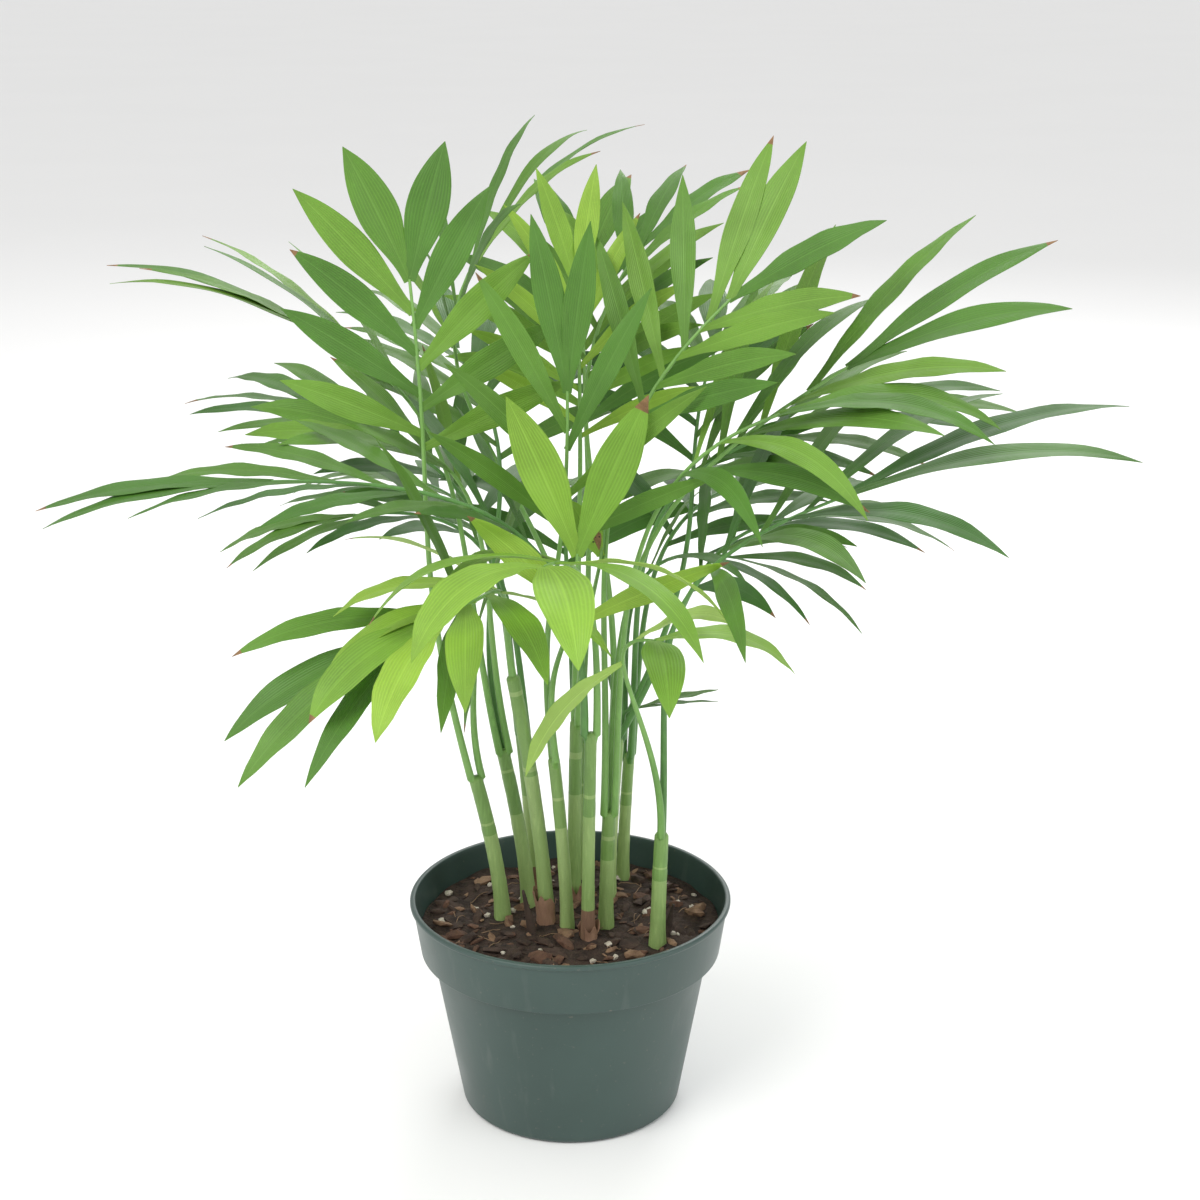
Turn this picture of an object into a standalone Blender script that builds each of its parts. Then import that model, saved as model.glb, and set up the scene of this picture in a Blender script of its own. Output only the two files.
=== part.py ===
"""A parlor palm in a four inch nursery pot: seedlings that grow close together, each a short stem
that carries a few leaves. A palm leaf is one frond: a bare stalk, the rachis that goes on from it,
and narrow leaflets in pairs along the rachis, of which the last two make a fork.

Metres and degrees, +Z up, with the origin at the middle of the pot's flat underside.
A heading is counted from +X towards +Y, so 270 is the plant's front.
"""

import math
import random
from typing import NamedTuple

import bmesh
import bpy
from mathutils import Quaternion, Vector, noise
from mathutils.bvhtree import BVHTree

UP = Vector((0, 0, 1))
GAP = 0.0003  # between solids that touch on the real plant

POT_HEIGHT = 0.0735
POT_TOP_RADIUS = 0.0540
POT_BASE_RADIUS = 0.0372
POT_NECK_RADIUS = 0.0468  # of the body, where it meets the collar
POT_WALL = 0.0012
COLLAR_HEIGHT = 0.0185
COLLAR_FOOT_RADIUS = 0.0505
LIP_HEIGHT = 0.0020
LIP_OVERHANG = 0.0010
POT_SIDES = 40
DRAIN_HOLES = 6
DRAIN_RADIUS = 0.0035
DRAIN_CIRCLE = 0.0260

SOIL_TOP = 0.0640
SOIL_RELIEF = 0.0022
SOIL_RINGS = 8
SOIL_GRAIN = 75.0  # bumps across a metre
LEVEL_RADIUS = 0.0075  # round a stem's foot, where the soil is level
ROUGH_RADIUS = 0.0130

STEM_SIDES = 8
STEM_FOOT_FLARE = 1.2
STEM_TOP_SHARE = 0.95  # of its radius
FLARE_SHARES = (0.0, 0.1, 0.3, 0.65, 1.0)  # of its height, where its rings are

STALK_RADIUS = 0.0014  # of a frond's stalk where it leaves the stem
RACHIS_TIP_RADIUS = 0.00050
RACHIS_SIDES = 4
RACHIS_STEPS = 9
STALK_CIRCLE = 0.0020  # the stalks stand this far from the middle of their stem

LEAF_THICKNESS = 0.0010
LEAST_THICKNESS_SHARE = 0.0115  # of a leaflet's length
LEAF_ROOT_SHARE = 0.28  # of its full width
LEAF_WIDEST = 0.52  # of its length
SHORT_STATIONS = (0.0, 0.22, 0.54, 0.82)
LONG_STATIONS = (0.0, 0.15, 0.35, 0.58, 0.82)
MUCH_DROOP = 38.0
PATH_STEPS = 16
JITTER = 5.0  # degrees, the most that a leaflet strays from the rule
SEED = 11


class Stem(NamedTuple):
    """A seedling's stem: a sheath of leaf bases, from the soil to where its fronds part."""

    foot: tuple
    lean: tuple
    height: float
    radius: float


class Frond(NamedTuple):
    """One leaf of the palm. Its rachis runs from the stem in one bend to its tip."""

    stem: str
    tip: tuple  # where the rachis ends
    heading: float  # of the rachis at its tip
    lift: float  # of the rachis at its tip, above level
    rachis: float  # length that carries leaflets
    pairs: int
    leaf: float  # length of its longest leaflets
    width: float
    spread: float  # between the rachis and its lowest leaflets
    fork: float  # between the rachis and each of its last two leaflets
    droop: float  # how far a level leaflet has bent down by its tip
    roll: float = 0.0  # of the blade about the rachis
    raise_: float = 10.0  # of the leaflets above the blade's plane
    ends: float = 0.95  # length of its last two leaflets, as a share of the longest
    shade: str = "mid"
    stiff: float = 0.5  # share of its stalk that keeps to the stem's direction


STEMS = {
    "left": Stem((-0.023, 0.002), (-0.008, -0.002), 0.050, 0.0026),
    "left_back": Stem((-0.0145, 0.011), (-0.008, 0.003), 0.054, 0.0025),
    "mid_left": Stem((-0.008, -0.002), (-0.010, -0.005), 0.088, 0.0025),
    "middle": Stem((-0.001, -0.007), (-0.004, -0.001), 0.060, 0.0022),
    "front": Stem((0.006, -0.014), (0.001, -0.003), 0.072, 0.0022),
    "mid_right": Stem((0.012, -0.005), (0.001, -0.001), 0.040, 0.0025),
    "right": Stem((0.029, -0.019), (0.001, 0.000), 0.038, 0.0026),
    "right_back": Stem((0.018, 0.033), (0.002, 0.001), 0.045, 0.0022),
    "back_left": Stem((-0.013, 0.026), (-0.004, 0.003), 0.055, 0.0023),
    "back": Stem((0.001, 0.014), (0.001, 0.002), 0.064, 0.0024),
    "back_far": Stem((0.003, 0.034), (0.000, 0.005), 0.050, 0.0023),
    "back_right": Stem((0.013, 0.018), (0.003, 0.004), 0.056, 0.0024),
}

FRONDS = {
    "crest_left": Frond("left", (-0.048, -0.010, 0.283), 130, 81, 0.050, 5, 0.052, 0.0130, 58, 18, 12, -35, ends=0.86),
    "far_left_high": Frond("left_back", (-0.076, 0.030, 0.256), 172, 28, 0.034, 3, 0.086, 0.0085, 12, 5, 38, 0, 0),
    "left_mid": Frond("left_back", (-0.058, 0.004, 0.230), 182, 12, 0.026, 3, 0.050, 0.0100, 34, 12, 24, -20),
    "left_long": Frond("front", (-0.089, -0.035, 0.226), 184, 0, 0.080, 6, 0.058, 0.0090, 42, 5, 26, -12, ends=1.3),
    "left_low": Frond("left", (-0.052, -0.045, 0.180), 200, -24, 0.040, 4, 0.070, 0.0110, 44, 6, 34, -30),
    "front_left_low": Frond("mid_left", (-0.036, -0.058, 0.190), 228, -12, 0.036, 4, 0.056, 0.0150, 56, 18, 60),
    "front_arch": Frond("front", (-0.006, -0.078, 0.212), 258, 10, 0.034, 3, 0.064, 0.0160, 80, 26, 92),
    "right_low": Frond("right", (0.027, -0.043, 0.178), 320, 6, 0.020, 2, 0.052, 0.0130, 82, 46, 78),
    "right_mid": Frond("right", (0.083, -0.038, 0.222), 350, 24, 0.045, 4, 0.090, 0.0110, 62, 9, 42, 12, ends=1.04),
    "right_high_long": Frond("mid_right", (0.086, -0.015, 0.257), 355, 33, 0.052, 4, 0.080, 0.0110, 50, 14, 30, 28),
    "right_arching": Frond("mid_right", (0.064, -0.032, 0.246), 348, 22, 0.034, 3, 0.078, 0.0095, 50, 12, 62, 25),
    "top_right": Frond("mid_right", (0.050, -0.010, 0.277), 0, 44, 0.045, 5, 0.062, 0.0115, 54, 22, 12, 42),
    "top_right_back": Frond("back_right", (0.023, 0.045, 0.284), 50, 38, 0.046, 5, 0.052, 0.0090, 54, 16, 30),
    "top_centre": Frond("back", (0.003, 0.015, 0.275), 95, 75, 0.044, 5, 0.045, 0.0075, 56, 11, 24),
    "arch_back": Frond("back_far", (-0.027, 0.045, 0.286), 25, 50, 0.040, 4, 0.070, 0.0070, 40, 10, 60),
    "centre_up": Frond("middle", (0.000, -0.018, 0.250), 95, 84, 0.046, 4, 0.058, 0.0095, 50, 8, 18),
    "centre_fan": Frond("middle", (0.003, -0.034, 0.203), 100, 78, 0.022, 2, 0.060, 0.0135, 40, 22, 10),
    "spotted": Frond("back", (0.011, -0.012, 0.205), 95, 80, 0.010, 1, 0.038, 0.0100, 30, 8, 14),
    "low_small": Frond("back_right", (0.022, 0.022, 0.132), 10, 5, 0.012, 2, 0.032, 0.0050, 30, 10, 10),
    "right_behind": Frond("right_back", (0.085, 0.028, 0.232), 5, 14, 0.048, 5, 0.068, 0.0085, 44, 9, 34, 15),
    "right_hanging": Frond("right_back", (0.055, 0.026, 0.184), 350, -8, 0.034, 4, 0.055, 0.0060, 50, 16, 56, 10),
    "left_behind": Frond("back_left", (-0.072, 0.028, 0.198), 180, -8, 0.042, 4, 0.052, 0.0080, 46, 10, 40, -10),
    "back_low_left": Frond("back_left", (-0.058, 0.085, 0.196), 135, 0, 0.050, 5, 0.056, 0.0105, 56, 14, 45),
    "back_low": Frond("back_far", (-0.004, 0.104, 0.188), 92, -5, 0.050, 5, 0.058, 0.0110, 56, 16, 48),
    "back_low_right": Frond("right_back", (0.066, 0.086, 0.196), 45, 0, 0.050, 5, 0.056, 0.0105, 56, 14, 45),
    "back_mid_left": Frond("left_back", (-0.040, 0.072, 0.246), 120, 24, 0.050, 5, 0.058, 0.0105, 56, 14, 34),
    "back_mid_right": Frond("back_right", (0.050, 0.072, 0.246), 60, 24, 0.050, 5, 0.058, 0.0105, 56, 14, 34),
    "back_high": Frond("back_far", (0.004, 0.070, 0.270), 88, 44, 0.050, 5, 0.056, 0.0105, 56, 14, 34),
    "side_right": Frond("back_right", (0.078, 0.020, 0.200), 12, 0, 0.046, 4, 0.060, 0.0095, 50, 12, 44, 10),
    "side_left": Frond("back_left", (-0.080, 0.056, 0.226), 155, 14, 0.048, 5, 0.060, 0.0095, 50, 12, 36, -10),
}

COLOURS = {
    "pot": (0.035, 0.075, 0.062, 1),
    "soil": (0.040, 0.022, 0.014, 1),
    "stem": (0.200, 0.360, 0.110, 1),
    "deep": (0.055, 0.200, 0.030, 1),
    "mid": (0.120, 0.330, 0.045, 1),
    "young": (0.270, 0.520, 0.070, 1),
}
ROUGHNESS = {"pot": 0.45, "soil": 0.95, "stem": 0.50, "deep": 0.45, "mid": 0.45, "young": 0.45}


def clear_scene():
    for obj in list(bpy.data.objects):
        bpy.data.objects.remove(obj, do_unlink=True)


def material(name):
    """A plain material of that name, made once."""
    found = bpy.data.materials.get(name)
    if found:
        return found
    made = bpy.data.materials.new(name)
    made.use_nodes = True
    shader = made.node_tree.nodes["Principled BSDF"]
    shader.inputs["Base Color"].default_value = COLOURS[name]
    shader.inputs["Roughness"].default_value = ROUGHNESS[name]
    made.diffuse_color = COLOURS[name]
    return made


def add_object(name, mesh, finish, collection=None):
    obj = bpy.data.objects.new(name, mesh)
    mesh.materials.append(material(finish))
    (collection or bpy.context.scene.collection).objects.link(obj)
    return obj


def mesh_of(name, points, faces):
    mesh = bpy.data.meshes.new(name)
    mesh.from_pydata(points, [], faces)
    mesh.validate()
    return mesh


def turned(name, profile, sides):
    """A solid of revolution about +Z from (radius, height) points that start and end on the axis."""
    shape = bmesh.new()
    rim = [shape.verts.new((radius, 0, height)) for radius, height in profile]
    edges = [shape.edges.new(pair) for pair in zip(rim, rim[1:])]
    bmesh.ops.spin(
        shape, geom=rim + edges, cent=(0, 0, 0), axis=UP, angle=math.tau, steps=sides, use_merge=True
    )
    bmesh.ops.remove_doubles(shape, verts=shape.verts, dist=1e-6)
    bmesh.ops.recalc_face_normals(shape, faces=shape.faces)
    mesh = bpy.data.meshes.new(name)
    shape.to_mesh(mesh)
    shape.free()
    mesh.shade_smooth()
    mesh.set_sharp_from_angle(angle=math.radians(40))
    return mesh


def pot_outside():
    """The pot's outer profile, from the middle of its underside up to its lip."""
    corner = 0.001
    collar_foot = POT_HEIGHT - COLLAR_HEIGHT
    lip_foot = POT_HEIGHT - LIP_HEIGHT
    return [
        (0, 0),
        (POT_BASE_RADIUS - corner, 0),
        (POT_BASE_RADIUS, corner),
        (POT_NECK_RADIUS, collar_foot),
        (COLLAR_FOOT_RADIUS, collar_foot),
        (POT_TOP_RADIUS - LIP_OVERHANG, lip_foot),
        (POT_TOP_RADIUS, lip_foot + 0.25 * LIP_HEIGHT),
        (POT_TOP_RADIUS, POT_HEIGHT - 0.25 * LIP_HEIGHT),
        (POT_TOP_RADIUS - 0.5 * LIP_OVERHANG, POT_HEIGHT),
    ]


def pot_inside(inset):
    """The pot's inner profile moved in by inset, from its floor up to just under its lip."""
    step = POT_HEIGHT - COLLAR_HEIGHT
    wall = POT_WALL + inset
    slope = (POT_TOP_RADIUS - LIP_OVERHANG - COLLAR_FOOT_RADIUS) / (COLLAR_HEIGHT - LIP_HEIGHT)
    return [
        (POT_BASE_RADIUS - wall, POT_WALL + inset),
        (POT_NECK_RADIUS - wall, step),
        (COLLAR_FOOT_RADIUS - wall + slope * POT_WALL, step + 2 * POT_WALL),
        (POT_TOP_RADIUS - LIP_OVERHANG - wall, POT_HEIGHT - LIP_HEIGHT),
    ]


def build_pot():
    """A thin walled pot with a stepped collar, a lip and drain holes in its floor."""
    mouth = [(POT_TOP_RADIUS - LIP_OVERHANG - POT_WALL + 0.0004, POT_HEIGHT)]
    profile = pot_outside() + mouth + pot_inside(0)[::-1] + [(0, POT_WALL)]
    pot = add_object("pot", turned("pot", profile, POT_SIDES), "pot")
    cutter_mesh = bpy.data.meshes.new("drain")
    shape = bmesh.new()
    for k in range(DRAIN_HOLES):
        angle = math.tau * (k + 0.5) / DRAIN_HOLES
        made = bmesh.ops.create_cone(
            shape, cap_ends=True, segments=12, radius1=DRAIN_RADIUS, radius2=DRAIN_RADIUS, depth=6 * POT_WALL
        )
        place = Vector((DRAIN_CIRCLE * math.cos(angle), DRAIN_CIRCLE * math.sin(angle), 0))
        bmesh.ops.translate(shape, verts=made["verts"], vec=place)
    shape.to_mesh(cutter_mesh)
    shape.free()
    cutter = add_object("drain_cutter", cutter_mesh, "pot")
    cutter.hide_render = True
    cutter.display_type = "WIRE"
    cut = pot.modifiers.new("drain", "BOOLEAN")
    cut.operation = "DIFFERENCE"
    cut.object = cutter


def soil_height(x, y):
    """The soil's surface: rough between the stems and the wall, and level at each stem's foot."""
    nearest = min(math.hypot(x - s.foot[0], y - s.foot[1]) for s in STEMS.values())
    share = min(max((nearest - LEVEL_RADIUS) / (ROUGH_RADIUS - LEVEL_RADIUS), 0.0), 1.0)
    bump = noise.noise(Vector((x, y, 0.37)) * SOIL_GRAIN)
    return SOIL_TOP + SOIL_RELIEF * share * (bump - 0.25)


def build_soil():
    """The compost that fills the pot, cut to the pot's inner shape with a rough top."""
    side = pot_inside(GAP)[:3]
    top_share = (SOIL_TOP - side[-1][1]) / (pot_inside(GAP)[3][1] - side[-1][1])
    edge = side[-1][0] + top_share * (pot_inside(GAP)[3][0] - side[-1][0])
    rows = [(radius, height, False) for radius, height in side]
    rows += [(edge * (1 - k / SOIL_RINGS), SOIL_TOP, True) for k in range(SOIL_RINGS)]
    points, faces = [], []
    for radius, height, is_top in rows:
        for k in range(POT_SIDES):
            angle = math.tau * k / POT_SIDES
            x, y = radius * math.cos(angle), radius * math.sin(angle)
            points.append((x, y, soil_height(x, y) if is_top else height))
    for row in range(len(rows) - 1):
        for k in range(POT_SIDES):
            here, beside = row * POT_SIDES + k, row * POT_SIDES + (k + 1) % POT_SIDES
            faces.append((here, beside, beside + POT_SIDES, here + POT_SIDES))
    last = (len(rows) - 1) * POT_SIDES
    points.append((0, 0, soil_height(0, 0)))
    faces += [(last + k, last + (k + 1) % POT_SIDES, len(points) - 1) for k in range(POT_SIDES)]
    faces.append(tuple(reversed(range(POT_SIDES))))
    add_object("soil", mesh_of("soil", points, faces), "soil")


def stem_point(stem, share):
    """A point on the stem's middle line: it leans further the higher it gets."""
    lean = share**1.5
    x = stem.foot[0] + stem.lean[0] * lean
    y = stem.foot[1] + stem.lean[1] * lean
    return Vector((x, y, SOIL_TOP + GAP + stem.height * share))


def stem_direction(stem):
    return (stem_point(stem, 1.0) - stem_point(stem, 0.8)).normalized()


def tube(centres, radii, sides, twist=0.0):
    """Points and faces of a closed tube with flat ends. Its rings don't turn about its line."""
    points, faces = [], []
    side = None
    for k, centre in enumerate(centres):
        ahead = centres[min(k + 1, len(centres) - 1)] - centres[max(k - 1, 0)]
        ahead.normalize()
        if side is None:
            side = ahead.cross(UP if abs(ahead.z) < 0.9 else Vector((0, 1, 0)))
        side = (side - side.dot(ahead) * ahead).normalized()
        other = ahead.cross(side)
        for j in range(sides):
            angle = math.tau * j / sides + twist
            points.append(centre + radii[k] * (math.cos(angle) * side + math.sin(angle) * other))
    for row in range(len(centres) - 1):
        for j in range(sides):
            here, beside = row * sides + j, row * sides + (j + 1) % sides
            faces.append((here, beside, beside + sides, here + sides))
    last = (len(centres) - 1) * sides
    faces.append(tuple(range(sides - 1, -1, -1)))
    faces.append(tuple(range(last, last + sides)))
    return points, faces


def stem_shape(stem):
    centres = [stem_point(stem, share) for share in FLARE_SHARES]
    radii = []
    for share in FLARE_SHARES:
        flare = 1 + (STEM_FOOT_FLARE - 1) * (1 - min(share / 0.3, 1)) ** 2
        radii.append(stem.radius * flare * (1 + (STEM_TOP_SHARE - 1) * share))
    points, faces = tube(centres, radii, STEM_SIDES)
    for point in points[:STEM_SIDES]:
        point.z = SOIL_TOP + GAP
    return points, faces


class Space:
    """The shapes placed so far, so that what grows next keeps clear of them."""

    def __init__(self):
        self.taken = []

    @staticmethod
    def _box(points):
        low = [min(p[i] for p in points) for i in range(3)]
        high = [max(p[i] for p in points) for i in range(3)]
        return low, high

    def add(self, owner, points, faces):
        tree = BVHTree.FromPolygons([tuple(p) for p in points], faces)
        self.taken.append((owner, *self._box(points), tree))

    def is_clear(self, owner, points, faces):
        low, high = self._box(points)
        tree = None
        for other, other_low, other_high, other_tree in self.taken:
            if other == owner:
                continue
            if any(low[i] > other_high[i] or high[i] < other_low[i] for i in range(3)):
                continue
            tree = tree or BVHTree.FromPolygons([tuple(p) for p in points], faces)
            if tree.overlap(other_tree):
                return False
        return True


def bezier(a, b, c, d, share):
    rest = 1 - share
    return rest**3 * a + 3 * rest**2 * share * b + 3 * rest * share**2 * c + share**3 * d


def heading_vector(heading, lift):
    """The unit vector with that compass heading and lift, in degrees."""
    h, e = math.radians(heading), math.radians(lift)
    return Vector((math.cos(e) * math.cos(h), math.cos(e) * math.sin(h), math.sin(e)))


def along(line, lengths, distance):
    """The point at that distance along a line of points, and the line's direction there."""
    distance = min(max(distance, 0.0), lengths[-1])
    k = next(i for i in range(1, len(line)) if lengths[i] >= distance - 1e-9)
    share = (distance - lengths[k - 1]) / (lengths[k] - lengths[k - 1])
    return line[k - 1].lerp(line[k], share), (line[k] - line[k - 1]).normalized()


def frond_line(frond, start, sway):
    """The stalk and rachis as points: up from the stem, then over to the tip."""
    stem = STEMS[frond.stem]
    tip = Vector(frond.tip)
    reach = (tip - start).length
    out = heading_vector(frond.heading, frond.lift)
    first = start + stem_direction(stem) * reach * frond.stiff + sway
    second = tip - out * min(1.6 * frond.rachis, 0.55 * reach) + 0.5 * sway
    count = 40
    line = [bezier(start, first, second, tip, k / count) for k in range(count + 1)]
    lengths = [0.0]
    for a, b in zip(line, line[1:]):
        lengths.append(lengths[-1] + (b - a).length)
    return line, lengths


def stalk_radius(share):
    return STALK_RADIUS + (RACHIS_TIP_RADIUS - STALK_RADIUS) * share**0.8


def stalk_shape(line, lengths, extra=0.0):
    centres, radii = [], []
    for k in range(RACHIS_STEPS + 1):
        share = k / RACHIS_STEPS
        centres.append(along(line, lengths, lengths[-1] * share)[0])
        radii.append(stalk_radius(share) + extra)
    return tube(centres, radii, RACHIS_SIDES, twist=math.pi / 4)


def sways():
    """Sideways bends for a stalk to try, the straightest first."""
    yield Vector((0, 0, 0))
    for size in (0.006, 0.012, 0.018, 0.026, 0.034):
        for k in range(8):
            angle = math.tau * (k + 0.35) / 8
            yield Vector((math.cos(angle), math.sin(angle), 0)) * size


def stalk_start(name):
    """Where a frond leaves its stem: the stem's fronds stand round its top, each on its own side."""
    frond = FRONDS[name]
    stem = STEMS[frond.stem]
    mates = [other for other in FRONDS if FRONDS[other].stem == frond.stem]
    top = stem_point(stem, 1.0) + UP * GAP
    if len(mates) == 1:
        return top
    headings = {
        mate: math.atan2(FRONDS[mate].tip[1] - top.y, FRONDS[mate].tip[0] - top.x) % math.tau for mate in mates
    }
    ranked = sorted(mates, key=lambda mate: headings[mate])
    turn = headings[ranked[0]] + math.tau * ranked.index(name) / len(mates)
    return top + STALK_CIRCLE * Vector((math.cos(turn), math.sin(turn), 0)) + UP * 0.0009


def place_stalks(space):
    """Every frond's line, each bent aside as far as it takes to clear the ones before it."""
    lines = {}
    for name, frond in FRONDS.items():
        start = stalk_start(name)
        for sway in sways():
            line, lengths = frond_line(frond, start, sway)
            if space.is_clear(name, *stalk_shape(line, lengths, extra=1.2 * GAP)):
                break
        lines[name] = (line, lengths)
        space.add(name, *stalk_shape(line, lengths))
    return lines


def blade_frame(frond, ahead):
    """The rachis's side and upper directions where it runs ahead."""
    level = heading_vector(frond.heading, 0)
    side = level.cross(UP)
    upper = side.cross(ahead).normalized()
    turn = Quaternion(ahead, math.radians(frond.roll))
    upper = turn @ upper
    return upper.cross(ahead) * -1, upper


class Leaflet(NamedTuple):
    """One leaflet's numbers, as the rule for its frond gives them."""

    root: Vector
    ahead: Vector
    side: Vector
    upper: Vector
    hand: int
    spread: float
    raise_: float
    length: float
    width: float
    droop: float


def leaflet_path(leaf, droop_more=0.0, spread_more=0.0, raise_more=0.0, cut=1.0):
    """The leaflet's middle line, with its direction, width direction and upper side at each point."""
    spread = math.radians(leaf.spread + spread_more)
    lifted = math.radians(leaf.raise_ + raise_more)
    out = leaf.hand * leaf.side * math.cos(lifted) + leaf.upper * math.sin(lifted)
    direction = (math.cos(spread) * leaf.ahead + math.sin(spread) * out).normalized()
    across = leaf.ahead - leaf.ahead.dot(direction) * direction
    if across.length < 0.2:
        across = leaf.hand * -leaf.side
    across = (across - across.dot(direction) * direction).normalized() * -leaf.hand
    point = leaf.root.copy()
    step = leaf.length * cut / PATH_STEPS
    bend = math.radians(leaf.droop + droop_more)
    path = []
    for k in range(PATH_STEPS + 1):
        normal = across.cross(direction).normalized()
        if normal.dot(leaf.upper) < 0 and k == 0:
            across = -across
            normal = -normal
        path.append((point.copy(), direction.copy(), across.copy(), normal))
        point = point + direction * step
        level = math.sqrt(max(1 - direction.z**2, 0.0))
        weight = (0.4 + 1.2 * k / PATH_STEPS) / PATH_STEPS
        axis = direction.cross(-UP)
        if axis.length > 1e-4:
            turn = Quaternion(axis.normalized(), bend * level * weight)
            direction = (turn @ direction).normalized()
            across = turn @ across
            across = (across - across.dot(direction) * direction).normalized()
    return path


def half_width(width, share):
    """A leaflet's half width: narrow at its root, widest before its middle, drawn out to its tip."""
    rise = min(share / LEAF_WIDEST, 1.0)
    rise = rise * rise * (3 - 2 * rise)
    fall = max((share - LEAF_WIDEST) / (1 - LEAF_WIDEST), 0.0)
    return 0.5 * width * (LEAF_ROOT_SHARE + (1 - LEAF_ROOT_SHARE) * rise) * (1 - fall**2.0)


def leaflet_shape(leaf, path, extra=0.0):
    """A thin blade with a keel under its midrib: points and faces. extra makes it that much larger all round."""
    stations = LONG_STATIONS if leaf.droop > MUCH_DROOP else SHORT_STATIONS
    thick = max(LEAF_THICKNESS, LEAST_THICKNESS_SHARE * leaf.length)
    points, faces = [], []
    for share in stations:
        exact = share * PATH_STEPS
        k = min(int(exact), PATH_STEPS - 1)
        point = path[k][0].lerp(path[k + 1][0], exact - k)
        across, normal = path[k][2], path[k][3]
        half = half_width(leaf.width, share) + extra
        keel = thick * (0.55 + 0.45 * math.sin(math.pi * min(share + 0.15, 1)))
        points += [
            point + across * half + normal * extra,
            point - normal * (keel + extra),
            point - across * half + normal * extra,
        ]
    points.append(path[-1][0] + path[-1][1] * extra)
    for row in range(len(stations) - 1):
        for j in range(3):
            here, beside = 3 * row + j, 3 * row + (j + 1) % 3
            faces.append((here, beside, beside + 3, here + 3))
    last = 3 * (len(stations) - 1)
    faces += [(last + j, last + (j + 1) % 3, len(points) - 1) for j in range(3)]
    faces.append((2, 1, 0))
    return points, faces


def frond_leaflets(name, line, lengths):
    """The leaflets of a frond by its rule, from the lowest pair to the fork at its tip."""
    frond = FRONDS[name]
    chance = random.Random(f"{SEED} {name}")
    leaves = []
    for pair in range(frond.pairs):
        share = pair / max(frond.pairs - 1, 1)
        is_fork = pair == frond.pairs - 1
        for hand in (-1, 1):
            stagger = 0 if is_fork else hand * 0.18 * frond.rachis / max(frond.pairs - 1, 1)
            back = frond.rachis * (1 - share) + (0.0 if is_fork else stagger)
            root, ahead = along(line, lengths, lengths[-1] - max(back, 0.0005))
            side, upper = blade_frame(frond, ahead)
            spread = frond.spread + (frond.fork - frond.spread) * share**1.6
            size = frond.ends if is_fork else 0.72 + 0.56 * math.sin(math.pi * (0.15 + 0.5 * share))
            leaves.append(
                Leaflet(
                    root=root,
                    ahead=ahead,
                    side=side,
                    upper=upper,
                    hand=hand,
                    spread=spread + chance.uniform(-JITTER, JITTER),
                    raise_=frond.raise_ + chance.uniform(-JITTER, JITTER),
                    length=frond.leaf * (size if is_fork else min(size, 1.0)) * chance.uniform(0.92, 1.0),
                    width=frond.width * (1.0 if is_fork else 0.70 + 0.16 * share),
                    droop=frond.droop + chance.uniform(-JITTER, JITTER),
                )
            )
    return leaves


def leaflet_tries():
    """Ways for a crowded leaflet to give way: more or less droop, a turn, a lift, and then a shorter blade."""
    yield {}
    for cut in (1.0, 0.86, 0.7):
        for size in (1, 2, 3):
            yield {"droop_more": 9.0 * size, "cut": cut}
            yield {"raise_more": 7.0 * size, "cut": cut}
            yield {"raise_more": -7.0 * size, "cut": cut}
            yield {"spread_more": 6.0 * size, "cut": cut}
            yield {"spread_more": -6.0 * size, "cut": cut}
            yield {"droop_more": -9.0 * size, "cut": cut}


def place_leaflets(space, lines):
    """Every frond's leaflets, where each is clear of all other fronds. One that never is gets left out."""
    placed = {}
    for name, (line, lengths) in lines.items():
        placed[name] = []
        for leaf in frond_leaflets(name, line, lengths):
            for change in leaflet_tries():
                path = leaflet_path(leaf, **change)
                if space.is_clear(name, *leaflet_shape(leaf, path, extra=GAP)):
                    placed[name].append((leaf, path))
                    space.add(name, *leaflet_shape(leaf, path))
                    break
    return placed


def grow():
    """The whole plant's lines and leaflets, each clear of the rest."""
    space = Space()
    for name, stem in STEMS.items():
        space.add("stem_" + name, *stem_shape(stem))
    lines = place_stalks(space)
    return lines, place_leaflets(space, lines)


def build_frond(name, line, lengths, leaves):
    """One frond as one solid: its leaflets fused to its rachis."""
    finish = FRONDS[name].shade
    frond = add_object("frond_" + name, mesh_of(name, *stalk_shape(line, lengths)), finish)
    bunch = bpy.data.collections.new("leaflets_" + name)
    bpy.context.scene.collection.children.link(bunch)
    for k, (leaf, path) in enumerate(leaves):
        add_object(f"leaflet_{k}", mesh_of("leaflet", *leaflet_shape(leaf, path)), finish, bunch)
    join = frond.modifiers.new("fuse", "BOOLEAN")
    join.operation = "UNION"
    join.operand_type = "COLLECTION"
    join.solver = "MANIFOLD"
    join.collection = bunch
    bpy.context.view_layer.update()
    fused = bpy.data.meshes.new_from_object(frond.evaluated_get(bpy.context.evaluated_depsgraph_get()))
    frond.modifiers.clear()
    frond.data = fused
    for obj in list(bunch.objects):
        bpy.data.objects.remove(obj, do_unlink=True)
    bpy.data.collections.remove(bunch)


def main():
    clear_scene()
    build_pot()
    build_soil()
    for name, stem in STEMS.items():
        add_object("stem_" + name, mesh_of("stem_" + name, *stem_shape(stem)), "stem")
    lines, leaves = grow()
    for name, (line, lengths) in lines.items():
        build_frond(name, line, lengths, leaves[name])


if __name__ == "__main__":
    main()
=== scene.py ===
"""How the potted parlor palm looks: its fronds, stems, pot and soil, grown by the part's own rule and
carried further, to thin folded blades, round stalks, leaf bases and litter on the soil.

Metres and degrees, +Z up, with the origin at the middle of the pot's flat underside.
A heading is counted from +X towards +Y, so 270 is the plant's front.
"""

import math
import random
from typing import NamedTuple

import bmesh
import bpy
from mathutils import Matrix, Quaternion, Vector, noise
from mathutils.bvhtree import BVHTree


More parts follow.
